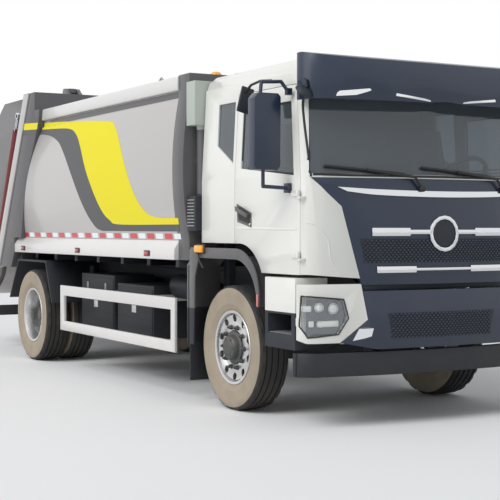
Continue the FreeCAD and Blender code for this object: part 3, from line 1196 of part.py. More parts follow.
def cab_fittings():
    """Dash, tunnel, seats, visor, mirrors and the bright bars on the front."""
    room = common("room", cab_form("room_form", "cab_wall + gap"), cab_profile("room_side", "cab_wall + gap"))
    dash = slab("dash", "XZ", [(ahead("930"), "1500"), (ahead("1330"), "1500"), (ahead("1330"), "1780"),
                               (ahead("1010"), "1780"), (ahead("930"), "1700")], "-1065", "1065")
    pieces = [common("dash", room, dash)]
    tunnel = block("tunnel", (ahead("-250"), ahead("1200")), ("-tunnel_half", "tunnel_half"),
                   ("front_sill", "1560"))
    pieces.append(common("tunnel", room, tunnel))
    for low, high in (("-1000", "-420"), ("420", "1000")):
        seat = slab("seat", "XZ",
                    [(ahead("60"), "rear_sill + 60"), (ahead("560"), "rear_sill + 60"),
                     (ahead("600"), "1690"), (ahead("560"), "1720"), (ahead("170"), "1690"),
                     (ahead("20"), "2330"), (ahead("-90"), "2330"), (ahead("10"), "1640")], low, high)
        pieces.append(seat)
    inside = fuse("inside", pieces[0], pieces[1])
    column = rod_between("column", (ahead("960"), "660", "1690"), (ahead("760"), "660", "1880"), "28")
    hoop = []
    for radius in (231, 199):
        disc = fresh("Part::Prism", "steering_ring")
        disc.Polygon = 20
        disc.Placement = FreeCAD.Placement(Vector(size(ahead("766")), 660, 1875),
                                           FreeCAD.Rotation(Vector(0, 0, 1), Vector(-0.725, 0, 0.689)))
        disc.Circumradius = radius
        disc.Height = 30
        hoop.append(disc)
    ring = cut("steering_ring", *hoop)
    spoke = block("spoke", (ahead("738"), ahead("772")), ("450", "870"), ("1868", "1902"))
    inside = fuse("cockpit", inside, column, ring, spoke)
    node("cab_interior", inside)
    legs = []
    for y in ("-760", "660"):
        legs.append(block("seat_leg", (ahead("200"), ahead("460")), (y, f"{y} + 100"),
                          ("rear_sill + cab_wall + gap", "rear_sill + 70")))
    node("seats", group("seats", fuse("right_seat", pieces[2], legs[0]), fuse("left_seat", pieces[3], legs[1])))
    loop = [(ahead("1100"), "visor_low"), (ahead("1385"), "visor_low"), (ahead("1420"), "visor_low + 55"),
            (ahead("1420"), "visor_low + 195"), (ahead("1345"), "visor_top"), (ahead("1160"), "cab_roof + 7"),
            (ahead("1100"), "cab_roof + 7")]
    hood = common("hood", slab("hood", "XZ", loop, "-cab_half", "cab_half"),
                  slab("hood_plan", "XY", plan_loop(ahead("front_overhang"), "visor_half", ahead("1050"),
                                                    "cab_corner"), "visor_low - 10", "cab_roof + 60"))
    loop = [(ahead("1050"), "visor_low - 20"), (ahead("1392"), "visor_low - 20"), (ahead("1392"), "visor_low + 190"),
            (ahead("1330"), "visor_top - 26"), (ahead("1160"), "cab_roof - 19"), (ahead("1050"), "cab_roof - 19")]
    hollow = common("hood_hollow", slab("hood_in", "XZ", loop, "-cab_half", "cab_half"),
                    slab("hood_in_plan", "XY", plan_loop(ahead("front_overhang - 26"), "visor_half - 22",
                                                         ahead("1040"), "cab_corner - 26"),
                         "visor_low - 30", "cab_roof + 60"))
    node("sun_visor", cut("sun_visor", hood, hollow, cab_form("visor_form", "-gap")))
    housing = slab("mirror_housing", "YZ",
                   [("-1460", "1892"), ("-1290", "1892"), ("-1266", "1918"), ("-1262", "2425"),
                    ("-1284", "2449"), ("-1445", "2449"), ("-1478", "2410"), ("-1482", "1920")],
                   ahead("975"), ahead("1075"))
    bars = [rod_between("mirror_bar", (ahead("1005"), "-1400", "2380"), (ahead("1005"), "-1385", "2535"), "14"),
            rod_between("mirror_bar", (ahead("1005"), "-1385", "2535"), (ahead("1005"), "-1225", "2545"), "14"),
            rod_between("mirror_bar", (ahead("1005"), "-1225", "2552"), (ahead("1005"), "-1160", "2478"), "14"),
            rod_between("mirror_bar", (ahead("1005"), "-1371", "1930"), (ahead("1005"), "-1371", "1775"), "14"),
            rod_between("mirror_bar", (ahead("1005"), "-1378", "1775"), (ahead("1005"), "-1170", "1765"), "14"),
            block("mirror_foot", (ahead("980"), ahead("1044")), ("-1182", "-cab_half - gap"), ("1730", "1800")),
            block("mirror_foot", (ahead("985"), ahead("1022")), ("-1175", "-1132"), ("2450", "2500"))]
    skin = cab_form("mirror_trim", "-gap")
    pair("mirror", cut("mirror", fuse("mirror", housing, *bars), skin))
    reach = (ahead("1150"), ahead("cab_face + 60"))
    bright = [shaft("emblem", "X", ("0", "emblem_height"), reach, "emblem_radius")]
    for low, high, half, notch in (("1412", "1473", "628", "307"), ("1140", "1188", "592", "257")):
        bright.append(block("bar", reach, (minus(half), minus(notch)), (low, high)))
        bright.append(block("bar", reach, (notch, half), (low, high)))
        bright.append(block("bar_link", reach, (minus(notch), notch), (f"{low} + 14", f"{high} - 14")))
    middle = round_hole("emblem_hole", "X", ("0", "emblem_height"),
                        (ahead("1140"), ahead("cab_face + 70")), "emblem_radius - 31")
    band = cut("bar_band", cab_form("bar_out", "-22"), cab_form("bar_in", "-gap"))
    node("grille_bars", common("grille_bars", band, cut("bars", fuse("bars", *bright), middle)))


def bumper():
    """Bumper, headlamp blocks, lamps and the under-run beam."""
    def skin(name, inset):
        return slab(name, "XY", plan_loop(ahead(f"bumper_face - ({inset})"), f"bumper_half - ({inset})",
                                          ahead("block_rear - 60"), f"cab_corner - ({inset})"),
                    "beam_low - 20", "block_top + 20")
    sheet = cut("front_skin", skin("front_skin", "0"), skin("front_skin_in", "bumper_wall"),
                block("skin_rear", (ahead("900"), ahead("block_rear")), ("-1300", "1300"), ("300", "1200")))
    middle = slab("bumper_area", "YZ",
                  [("-600", "bumper_low"), ("600", "bumper_low"), ("872", "634"), ("662", "800"), ("700", "bumper_top"),
                   ("-700", "bumper_top"), ("-662", "800"), ("-872", "634")], ahead("900"), ahead("1500"))
    posts = []
    for side in (("-(rail_half - 10)", "-(rail_half - 70)"), ("rail_half - 70", "rail_half - 10")):
        posts.append(block("bumper_post", (ahead("rail_ahead + gap"), ahead("bumper_face - 40")), side,
                           ("740", "800")))
    plate = common("bumper", sheet, middle)
    hangers = []
    for side in (("-(tilt_arm + 50)", "-(tilt_arm + 30)"), ("-(tilt_arm - 30)", "-(tilt_arm - 50)"),
                 ("tilt_arm - 50", "tilt_arm - 30"), ("tilt_arm + 30", "tilt_arm + 50")):
        hangers.append(slab("tilt_bracket", "XZ",
                            [(ahead("rail_ahead + gap"), "760"), (ahead("tilt_ahead + 36"), "760"),
                             (ahead("tilt_ahead + 36"), "tilt_height + 36"),
                             (ahead("tilt_ahead - 36"), "tilt_height + 36"), (ahead("rail_ahead + gap"), "830")],
                            *side))
    for side in (("-(tilt_arm + 50)", "-(tilt_arm - 50)"), ("tilt_arm - 50", "tilt_arm + 50")):
        hangers.append(shaft("tilt_pin", "Y", (ahead("tilt_ahead"), "tilt_height"), side, "tilt_pin"))
        hangers.append(block("bracket_foot", (ahead("rail_ahead + gap"), ahead("tilt_ahead + 36")), side,
                             ("745", "775")))
    node("front_bumper", fuse("front_bumper", plate, *posts, *hangers))
    loop = [("-718", "block_top"), ("-664", "800"), ("-884", "block_low"), ("-1130", "block_low"),
            ("-1215", "block_low + 40"), ("-1215", "block_top")]
    zone = slab("block_area", "YZ", loop, ahead("900"), ahead("1500"))
    lamp_loop = [("-1160", "975"), ("-860", "948"), ("-822", "813"), ("-900", "700"), ("-1125", "680"),
                 ("-1168", "760")]
    hole = slab("lamp_hole", "YZ", lamp_loop, ahead("1195"), ahead("1500"))
    block_skin = common("headlamp_block", sheet, zone)
    struts = [block("block_strut", (ahead("rail_ahead - 42"), ahead("rail_ahead - 10")),
                    ("-1180", "-(rail_half + gap)"), ("760", "820"))]
    both_sides("headlamp_blocks", fuse("headlamp_block", cut("headlamp_block", block_skin, hole), *struts))
    lens = common("lens", cut("lens_skin", skin("lens_out", "-4"), skin("lens_in", "bumper_wall - 2")),
                  slab("lens_area", "YZ", [(f"{y} + {aside}", f"{z} + {up}") for (y, z), aside, up in
                       zip(lamp_loop, ("play", "-play", "-play", "-play", "play", "play"),
                           ("-play", "-play", "0", "play", "play", "0"))],
                       ahead("1195.5"), ahead("1500")))
    both_sides("headlamps", lens)
    beam = slab("front_beam", "XY", plan_loop(ahead("bumper_face - 26"), "bumper_half - 40",
                                              ahead("1120"), "cab_corner - 20"), "beam_low", "beam_top")
    hollow = slab("front_beam_in", "XY", plan_loop(ahead("bumper_face - 86"), "bumper_half - 100",
                                                   ahead("1100"), "cab_corner - 60"), "beam_low - 10",
                  "beam_top + 10")
    pieces = [cut("front_beam", beam, hollow)]
    for side in (("-(rail_half + 60)", "-(rail_half + gap)"), ("rail_half + gap", "rail_half + 60")):
        pieces.append(slab("front_beam_arm", "XZ",
                           [(ahead("1000"), "760"), (ahead("1000"), "480"), (ahead("bumper_face - 80"), "420"),
                            (ahead("bumper_face - 80"), "520"), (ahead("1100"), "560"), (ahead("1100"), "760")],
                           *side))
    front = fuse("front_beam", *pieces)
    bar = block("rear_bar", (behind("1660"), behind("1560")), ("-1150", "1150"), ("400", "520"))
    struts = []
    for side in (("-(rail_half - 10)", "-(rail_half - 70)"), ("rail_half - 70", "rail_half - 10")):
        struts.append(slab("rear_strut", "XZ",
                           [(behind("rail_behind + gap"), "900"), (behind("rail_behind + gap"), "740"),
                            (behind("1590"), "420"), (behind("1590"), "515"), (behind("1300"), "760"),
                            (behind("1180"), "900")], *side))
    node("under_run_bars", group("under_run", front, fuse("rear_bar", bar, *struts)))


def fenders():
    """Front fenders with their flaps, and the folded covers over the rear wheels."""
    inner = "arch_top - (arch_side - arch_reach)"
    reach = "(arch_side - arch_reach)"
    loop = [(ahead("-arch_back - fender_wall"), "500"), (ahead("-arch_back"), "500"),
            (ahead("-arch_back"), "arch_top - 74"), (ahead("-arch_back + 100"), "arch_top"),
            (ahead("arch_reach"), "arch_top"), (ahead("arch_side"), inner, minus(reach)),
            (ahead("arch_side + fender_wall"), inner),
            (ahead("arch_reach"), "arch_top + fender_wall", f"{reach} + fender_wall"),
            (ahead("-arch_back + 92"), "arch_top + fender_wall"),
            (ahead("-arch_back - fender_wall"), "arch_top - 62")]
    liner = slab("liner", "XZ", loop, "-(fender_half - 5)", "-liner_inner")
    round_ = "(arch_round - 15)"
    top = "rear_sill - 10 - fender_drop"
    loop = [(ahead("-570"), "495"), (ahead("-490"), "495"), (ahead("-470"), "arch_top - 160"),
            (ahead("-400"), "arch_top"), (ahead("arch_reach"), "arch_top"),
            (ahead("arch_side"), inner, minus(reach)), (ahead("arch_side + 30"), inner),
            (ahead("arch_side + 30"), f"{top} - {round_} + sqrt({round_} ^ 2 - ({reach} + 30) ^ 2)"),
            (ahead("arch_reach"), top, round_), (ahead("-540"), top), (ahead("-570"), "arch_top + 60")]
    face = slab("fender_face", "XZ", loop, "-fender_half", "-(fender_half - 15)")
    flap = block("flap", (ahead("-arch_back - 14"), ahead("-arch_back")), ("-1165", "-900"), ("180", "505"))
    arms = [block("fender_arm", (ahead("-arch_back - 50"), ahead("-arch_back - 5")), ("-890", "-(rail_half + gap)"),
                  ("820", "880")),
            block("fender_arm", (ahead("arch_side + 5"), ahead("arch_side + 50")), ("-890", "-(rail_half + gap)"),
                  ("870", "930")),
            block("fender_post", (ahead("arch_side + 5"), ahead("arch_side + 50")), ("-930", "-881"),
                  ("868", "900")),
            block("fender_post", (ahead("-arch_back - 50"), ahead("-arch_back - 5")), ("-930", "-881"),
                  ("820", "880"))]
    both_sides("front_fenders", fuse("front_fender", liner, face, flap, *arms))
    loop = [(behind("-602"), "665"), (behind("-397"), "1118"), (behind("526"), "1118"), (behind("848"), "660"),
            (behind("820"), "660"), (behind("512"), "1096"), (behind("-383"), "1096"), (behind("-576"), "665")]
    cover = slab("rear_fender", "XZ", loop, "-1200", "-700")
    stay = [block("rear_stay", (behind("40"), behind("-40")), ("-720", "-(rail_half + gap)"), ("1040", "1100")),
            block("rear_stay", (behind("40"), behind("-40")), ("-490", "-(rail_half + gap)"), ("800", "1100"))]
    both_sides("rear_fenders", fuse("rear_fender", cover, *stay))


def side_gear():
    """Steps, side guards, boxes, tanks and the air intake behind the cab."""
    box = block("step_box", (ahead("700"), ahead("1140")), ("-1180", "-900"), ("580", "1105"))
    recess = block("step_recess", (ahead("745"), ahead("1085")), ("-1190", "-960"), ("690", "835"))
    stay = block("step_stay", (ahead("760"), ahead("860")), ("-905", "-(rail_half + gap)"), ("770", "830"))
    both_sides("cab_steps", fuse("cab_step", cut("step", box, recess), stay))
    loop = [(behind("-910"), "400"), (behind("-3700"), "400"), (behind("-3700"), "871"), (behind("-910"), "871")]
    hole = [(behind("-1020"), "500"), (behind("-1020"), "766"), (behind("-3620"), "766"), (behind("-3620"), "500")]
    guard = slab("side_guard", "XZ", loop, "-1220", "-1192", [hole])
    arms = []
    for spot in ("-1895", "-2835"):
        arms.append(block("guard_arm", (behind(spot), behind(f"{spot} - 30")), ("-1195", "-(rail_half + gap)"),
                          ("790", "850")))
    both_sides("side_guards", fuse("side_guard", guard, *arms))
    gear = []
    for rear, front, top in (("-972", "-1850", "1000"), ("-1940", "-2790", "930")):
        gear.append(fuse("side_box",
                         block("side_box", (behind(rear), behind(front)), ("-1000", "-560"), ("430", top)),
                         block("box_stay", (behind(f"{rear} - 200"), behind(f"{rear} - 260")),
                               ("-565", "-(rail_half + gap)"), ("760", "900")),
                         block("box_stay", (behind(f"{rear} - 600"), behind(f"{rear} - 660")),
                               ("-565", "-(rail_half + gap)"), ("760", "900"))))
    tank = fuse("tank", shaft("tank", "X", ("-780", "930"), (behind("-2900"), behind("-3450")), "112"),
                block("tank_stay", (behind("-3000"), behind("-3060")), ("-700", "-(rail_half + gap)"), ("880", "960")),
                block("tank_stay", (behind("-3280"), behind("-3340")), ("-700", "-(rail_half + gap)"), ("880", "960")))
    both_sides("side_boxes", group("side_box", *gear, tank))
    post = fuse("air_intake",
                block("intake_box", (ahead("-588"), ahead("-430")), ("-1210", "-980"), ("2335", "2706")),
                shaft("intake_pipe", "Z", (ahead("-509"), "-1090"), ("1735", "2345"), "55"),
                block("air_filter", (ahead("-592"), ahead("-432")), ("-1200", "-780"), ("1447", "1742")),
                block("filter_leg", (ahead("-560"), ahead("-470")), ("-870", "-800"), ("900", "1450")),
                block("filter_foot", (ahead("-560"), ahead("-470")), ("-870", "-(rail_half + gap)"), ("900", "960")))
    node("air_intake", post)


chassis()
front_axle()
knuckle()
tie_rod()
rear_axle()
wheels()
springs()
drive()
body_floor()
body_sides()
rear_frame()
body_front_frame()
body_rails()
ejector()
tailgate()
packer()
bin_lifter()
lift_cylinders()
cab()
cab_fittings()
bumper()
fenders()
side_gear()

document.recompute()
failed = [item.Name for item in document.Objects if "Invalid" in item.State or "Error" in item.State]
for piece in nodes:
    shape = piece.Shape
    if shape.isNull() or not shape.isValid():
        failed.append(piece.Label)
if failed:
    raise RuntimeError("these did not build: " + ", ".join(failed))
os.makedirs("parts", exist_ok=True)
for piece in nodes:
    piece.Shape.exportStep(f"parts/{piece.Label}.step")
print(len(nodes), "sub-parts written")
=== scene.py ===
"""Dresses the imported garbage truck: finishes, tyres, lamps, stripes and small trim."""
import json
import math

import bmesh
import bpy
from bpy.props import FloatProperty, FloatVectorProperty, IntProperty, PointerProperty
from mathutils import Matrix, Vector
from mathutils.bvhtree import BVHTree

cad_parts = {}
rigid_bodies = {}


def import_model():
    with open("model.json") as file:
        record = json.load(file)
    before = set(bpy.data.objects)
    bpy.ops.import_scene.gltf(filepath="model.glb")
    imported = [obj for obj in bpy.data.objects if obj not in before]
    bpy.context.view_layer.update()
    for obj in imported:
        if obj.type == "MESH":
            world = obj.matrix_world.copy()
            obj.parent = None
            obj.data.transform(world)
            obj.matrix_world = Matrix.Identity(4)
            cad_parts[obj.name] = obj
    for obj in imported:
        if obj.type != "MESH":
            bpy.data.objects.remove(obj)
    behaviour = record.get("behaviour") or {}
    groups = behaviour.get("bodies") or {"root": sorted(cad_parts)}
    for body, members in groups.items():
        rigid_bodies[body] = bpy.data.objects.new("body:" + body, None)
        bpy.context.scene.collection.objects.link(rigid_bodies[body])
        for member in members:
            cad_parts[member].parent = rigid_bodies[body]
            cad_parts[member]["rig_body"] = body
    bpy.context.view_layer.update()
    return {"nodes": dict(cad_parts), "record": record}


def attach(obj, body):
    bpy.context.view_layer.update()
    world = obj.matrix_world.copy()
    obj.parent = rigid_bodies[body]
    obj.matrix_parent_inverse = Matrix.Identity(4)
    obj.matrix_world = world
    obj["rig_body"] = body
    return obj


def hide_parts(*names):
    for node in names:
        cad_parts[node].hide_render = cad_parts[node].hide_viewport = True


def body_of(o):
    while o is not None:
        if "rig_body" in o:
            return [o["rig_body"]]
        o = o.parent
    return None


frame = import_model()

bl_info = {
    "name": "Garbage Truck Dressing",
    "version": (1, 0, 0),
    "blender": (4, 5, 0),
    "location": "View3D > Sidebar > Truck",
    "description": "Adds finishes and fine pieces to the packed garbage truck",
    "category": "Object",
}

NODES = frame["nodes"]
SLOT_OF = {part["node"]: part["material_slot"] for part in frame["record"]["subparts"]}
SIDES = ((-1, "right"), (1, "left"))
FINISH = {}                         # each finish's material, filled by make_finishes
CURVE_STEPS = 24                    # points from one spot of a smooth line to the next
WELD = 1e-5                         # points closer than this become one
CAD_WELD = 2e-5
FLAT_ANGLE = math.radians(0.6)      # CAD facets that turn by less than this become one
EDGE_ANGLE = math.radians(38)       # edges that turn by more than this are eased

# The axles' places along the truck and their height, and the tyres' middles from the centre line.
FRONT = 2.990
REAR = -1.510
AXLE_HEIGHT = 0.506
FRONT_TRACK = 0.970
REAR_OUTER = 1.089
REAR_INNER = 0.771


# ---------------------------------------------------------------- sizes and colours

class TruckFinishes(bpy.types.PropertyGroup):
    """Colours of the paints and plastics."""
    cab: FloatVectorProperty(name="Cab", description="Ivory paint of the cab", subtype="COLOR",
                             default=(0.74, 0.74, 0.70), min=0, max=1)
    body: FloatVectorProperty(name="Body", description="Silver-grey paint of the load body",
                              subtype="COLOR", default=(0.47, 0.455, 0.445), min=0, max=1)
    post: FloatVectorProperty(name="Posts", description="Dark grey of the body's posts",
                              subtype="COLOR", default=(0.078, 0.077, 0.083), min=0, max=1)
    dark: FloatVectorProperty(name="Front", description="Dark plastic of the cab's front",
                              subtype="COLOR", default=(0.009, 0.020, 0.046), min=0, max=1)
    yellow: FloatVectorProperty(name="Yellow band", description="Colour of the upper band",
                                subtype="COLOR", default=(0.78, 0.68, 0.0), min=0, max=1)
    band: FloatVectorProperty(name="Grey band", description="Colour of the lower band",
                              subtype="COLOR", default=(0.085, 0.085, 0.090), min=0, max=1)
    dust: FloatVectorProperty(name="Dust", description="Colour of dry road dust", subtype="COLOR",
                              default=(0.42, 0.36, 0.28), min=0, max=1)


class TruckWheels(bpy.types.PropertyGroup):
    """Sizes of the tyres and wheels."""
    nuts: IntProperty(name="Nuts", description="Nuts round each hub", default=10, min=4, max=16)
    nut_circle: FloatProperty(name="Nut circle", description="Radius of the nuts' circle",
                              unit="LENGTH", default=0.1675, min=0.1)
    holes: IntProperty(name="Holes", description="Hand holes in each wheel disc", default=10, min=4)
    steps: IntProperty(name="Steps", description="Divisions round a tyre", default=132, min=48)
    groove: FloatProperty(name="Groove", description="Depth of the tread's grooves",
                          unit="LENGTH", default=0.013, min=0.004)


class TruckTrim(bpy.types.PropertyGroup):
    """Sizes of what repeats along the body and on the front."""
    skin: FloatProperty(name="Band thickness", description="How far a coloured band stands proud",
                        unit="LENGTH", default=0.0015, min=0.0005)
    louvres: IntProperty(name="Louvres", description="Slats on the air filter", default=9, min=3)
    mesh: FloatProperty(name="Mesh pitch", description="Spacing of the grille's mesh",
                        unit="LENGTH", default=0.034, min=0.015)


class TruckStage(bpy.types.PropertyGroup):
    """Camera and light."""
    lens: FloatProperty(name="Lens", description="Focal length for a 36 mm sensor", default=89.4,
                        min=20)
    place: FloatVectorProperty(name="Camera", description="Place of the camera", subtype="TRANSLATION",
                               default=(11.8448, -5.8387, 1.4648))
    turn: FloatProperty(name="Turn", description="Angle of the view from straight ahead",
                        subtype="ANGLE", default=0.507)
    shift: FloatProperty(name="Shift", description="Upward shift of the picture", default=-0.0422)
    sun: FloatProperty(name="Key", description="Strength of the soft key lamp", default=1.75, min=0)


# ---------------------------------------------------------------- materials

BUMP_DEPTH = 0.002
COAT_ROUGHNESS = 0.08
LEAST_DUST = 0.06                   # what dust stays high up
PATCH_GAIN, PATCH_SHIFT = 1.4, -0.35


def fill(knot, values):
    """Sets a node's inputs by their names."""
    for label, value in values.items():
        knot.inputs[label].default_value = value


def shader_group(name, inputs, outputs):
    """A new shader group with its sockets, and its two end nodes."""
    tree = bpy.data.node_groups.new(name, "ShaderNodeTree")
    for label, kind, value in inputs:
        socket = tree.interface.new_socket(label, in_out="INPUT", socket_type=kind)
        socket.default_value = value
    for label, kind in outputs:
        tree.interface.new_socket(label, in_out="OUTPUT", socket_type=kind)
    return tree, tree.nodes.new("NodeGroupInput"), tree.nodes.new("NodeGroupOutput")


def maths(tree, kind, first, second):
    """A math node of two values or sockets."""
    knot = tree.nodes.new("ShaderNodeMath")
    knot.operation = kind
    for index, value in enumerate((first, second)):
        if isinstance(value, (int, float)):
            knot.inputs[index].default_value = value
        else:
            tree.links.new(value, knot.inputs[index])
    return knot.outputs[0]


def dust_group():
    """Dry dust that gathers towards the ground, broken up by noise."""
    tree, entry, leave = shader_group(
        "road_dust",
        [("Clean", "NodeSocketColor", (0.8, 0.8, 0.8, 1)),
         ("Dust", "NodeSocketColor", (0.4, 0.35, 0.3, 1)), ("Amount", "NodeSocketFloat", 0.3),
         ("Reach", "NodeSocketFloat", 1.6), ("Scale", "NodeSocketFloat", 3.0)],
        [("Color", "NodeSocketColor"), ("Mask", "NodeSocketFloat")])
    place = tree.nodes.new("ShaderNodeTexCoord")
    split = tree.nodes.new("ShaderNodeSeparateXYZ")
    tree.links.new(place.outputs["Object"], split.inputs[0])
    height = maths(tree, "DIVIDE", split.outputs["Z"], entry.outputs["Reach"])
    fall = maths(tree, "SUBTRACT", 1.0, height)
    noise = tree.nodes.new("ShaderNodeTexNoise")
    fill(noise, {"Detail": 6})
    tree.links.new(place.outputs["Object"], noise.inputs["Vector"])
    tree.links.new(entry.outputs["Scale"], noise.inputs["Scale"])
    patch = maths(tree, "ADD", maths(tree, "MULTIPLY", noise.outputs["Fac"], PATCH_GAIN), PATCH_SHIFT)
    low = maths(tree, "MAXIMUM", fall, LEAST_DUST)
    mask = tree.nodes.new("ShaderNodeClamp")
    amount = maths(tree, "MULTIPLY", maths(tree, "MULTIPLY", low, patch), entry.outputs["Amount"])
    tree.links.new(amount, mask.inputs["Value"])
    mix = tree.nodes.new("ShaderNodeMix")
    mix.data_type = "RGBA"
    tree.links.new(mask.outputs[0], mix.inputs["Factor"])
    tree.links.new(entry.outputs["Clean"], mix.inputs["A"])
    tree.links.new(entry.outputs["Dust"], mix.inputs["B"])
    tree.links.new(mix.outputs["Result"], leave.inputs["Color"])
    tree.links.new(mask.outputs[0], leave.inputs["Mask"])


def grain_group():
    """Fine unevenness for roughness and bump."""
    tree, entry, leave = shader_group(
        "surface_grain",
        [("Scale", "NodeSocketFloat", 90.0), ("Low", "NodeSocketFloat", 0.3),
         ("High", "NodeSocketFloat", 0.45)],
        [("Roughness", "NodeSocketFloat"), ("Height", "NodeSocketFloat")])
    place = tree.nodes.new("ShaderNodeTexCoord")
    noise = tree.nodes.new("ShaderNodeTexNoise")
    fill(noise, {"Detail": 4})
    tree.links.new(place.outputs["Object"], noise.inputs["Vector"])
    tree.links.new(entry.outputs["Scale"], noise.inputs["Scale"])
    reach = tree.nodes.new("ShaderNodeMapRange")
    tree.links.new(noise.outputs["Fac"], reach.inputs["Value"])
    tree.links.new(entry.outputs["Low"], reach.inputs["To Min"])
    tree.links.new(entry.outputs["High"], reach.inputs["To Max"])
    tree.links.new(reach.outputs[0], leave.inputs["Roughness"])
    tree.links.new(noise.outputs["Fac"], leave.inputs["Height"])


def surface(name, colour, rough=(0.3, 0.42), metal=0.0, coat=0.0, dust=0.25, reach=1.5, grain=90.0,
            bump=0.03, glass=0.0, glow=0.0, scale=3.0):
    """A material from the two shared groups, with its own values."""
    made = bpy.data.materials.new(name)
    made.use_nodes = True
    tree = made.node_tree
    shader = tree.nodes["Principled BSDF"]
    dirt = tree.nodes.new("ShaderNodeGroup")
    dirt.node_tree = bpy.data.node_groups["road_dust"]
    fill(dirt, {"Clean": (*colour, 1), "Dust": (*bpy.context.scene.truck_finishes.dust, 1),
                "Amount": dust, "Reach": reach, "Scale": scale})
    tree.links.new(dirt.outputs["Color"], shader.inputs["Base Color"])
    fine = tree.nodes.new("ShaderNodeGroup")
    fine.node_tree = bpy.data.node_groups["surface_grain"]
    fill(fine, {"Scale": grain, "Low": rough[0], "High": rough[1]})
    tree.links.new(fine.outputs["Roughness"], shader.inputs["Roughness"])
    relief = tree.nodes.new("ShaderNodeBump")
    fill(relief, {"Strength": bump, "Distance": BUMP_DEPTH})
    tree.links.new(fine.outputs["Height"], relief.inputs["Height"])
    tree.links.new(relief.outputs[0], shader.inputs["Normal"])
    fill(shader, {"Metallic": metal, "Coat Weight": coat, "Coat Roughness": COAT_ROUGHNESS,
                  "Transmission Weight": glass})
    if glow:
        fill(shader, {"Emission Color": (*colour, 1), "Emission Strength": glow})
    made.diffuse_color = (*colour, 1)
    FINISH[name] = made


def make_finishes():
    """One material for each finish on the truck."""
    hue = bpy.context.scene.truck_finishes
    dust_group()
    grain_group()
    surface("cab_white", hue.cab, (0.28, 0.36), coat=0.6, dust=0.28, reach=1.9, bump=0.01)
    surface("body_grey", hue.body, (0.34, 0.44), coat=0.3, dust=0.22, reach=2.6, bump=0.012)
    surface("post_grey", hue.post, (0.36, 0.48), coat=0.2, dust=0.2, reach=2.6, bump=0.012)
    surface("trim_white", (0.69, 0.68, 0.67), (0.32, 0.42), coat=0.3, dust=0.3, reach=1.9, bump=0.012)
    surface("front_dark", hue.dark, (0.30, 0.40), coat=0.25, dust=0.05, reach=2.2, bump=0.02)
    surface("front_rough", (0.010, 0.014, 0.022), (0.55, 0.7), dust=0.06, reach=2.2, grain=380,
            bump=0.12)
    surface("chassis_black", (0.008, 0.010, 0.016), (0.5, 0.65), dust=0.06, reach=1.6, bump=0.06)
    surface("machine_steel", (0.34, 0.35, 0.36), (0.4, 0.55), metal=0.5, dust=0.3, reach=2.6, bump=0.05)
    surface("filter_grey", (0.42, 0.46, 0.42), (0.5, 0.6), dust=0.25, reach=3.0, bump=0.05)
    surface("tyre_rubber", (0.017, 0.017, 0.018), (0.7, 0.85), dust=0.12, reach=1.5, grain=160,
            bump=0.15)
    surface("sidewall", (0.30, 0.25, 0.19), (0.75, 0.9), dust=1.0, reach=3.0, grain=140, bump=0.12,
            scale=6)
    surface("wheel_silver", (0.66, 0.66, 0.67), (0.22, 0.36), metal=0.9, dust=0.30, reach=2.2,
            bump=0.03, scale=9)
    surface("hub_dark", (0.075, 0.08, 0.085), (0.4, 0.55), metal=0.6, dust=0.35, reach=2.0, bump=0.05)
    surface("bright", (0.72, 0.73, 0.75), (0.10, 0.18), metal=1.0, dust=0.04, reach=2.4, bump=0.0)
    surface("rod_chrome", (0.72, 0.73, 0.75), (0.12, 0.2), metal=1.0, dust=0.05, reach=2.4, bump=0.0)
    surface("lamp", (0.90, 0.93, 0.95), (0.02, 0.05), glass=0.95, dust=0.0, bump=0.0)
    surface("lamp_bed", (0.16, 0.165, 0.175), (0.2, 0.3), metal=0.6, dust=0.0, bump=0.0)
    surface("lamp_bowl", (0.82, 0.83, 0.84), (0.12, 0.22), metal=0.85, dust=0.0, bump=0.02)
    surface("lamp_white", (0.92, 0.92, 0.88), (0.2, 0.3), coat=0.5, dust=0.0, bump=0.0, glow=0.12)
    surface("amber", (0.85, 0.36, 0.02), (0.15, 0.25), coat=0.6, dust=0.03, bump=0.0, glow=0.08)
    surface("tail_red", (0.50, 0.012, 0.012), (0.15, 0.25), coat=0.6, dust=0.08, reach=2.4, bump=0.0)
    surface("reflect_red", (0.62, 0.02, 0.03), (0.25, 0.35), coat=0.4, dust=0.1, reach=2.0, grain=500,
            bump=0.1)
    surface("reflect_white", (0.85, 0.86, 0.87), (0.25, 0.35), coat=0.4, dust=0.1, reach=2.0, grain=500,
            bump=0.1)
    surface("pink", (0.62, 0.17, 0.15), (0.2, 0.3), coat=0.5, dust=0.1, bump=0.0)
    surface("window", (0.27, 0.32, 0.36), (0.01, 0.03), glass=0.80, dust=0.0, bump=0.0)
    surface("mirror_glass", (0.75, 0.78, 0.8), (0.02, 0.04), metal=1.0, dust=0.0, bump=0.0)
    surface("rubber_trim", (0.012, 0.012, 0.013), (0.5, 0.65), dust=0.08, reach=2.4, bump=0.05)
    surface("interior_grey", (0.05, 0.052, 0.056), (0.55, 0.7), dust=0.0, grain=300, bump=0.1)
    surface("seat_cloth", (0.035, 0.038, 0.05), (0.8, 0.95), dust=0.0, grain=600, bump=0.3)
    surface("cylinder_red", (0.16, 0.012, 0.014), (0.35, 0.5), coat=0.2, dust=0.2, reach=2.6, bump=0.04)
    surface("band_yellow", hue.yellow, (0.5, 0.6), dust=0.03, reach=2.6, bump=0.0)
    surface("band_grey", hue.band, (0.5, 0.6), dust=0.05, reach=2.6, bump=0.0)


# ---------------------------------------------------------------- making meshes

def ease(part, width):
    """Rounds every edge of a bmesh."""
    bmesh.ops.bevel(part, geom=part.edges[:], offset=width, segments=2, profile=0.5, affect="EDGES")


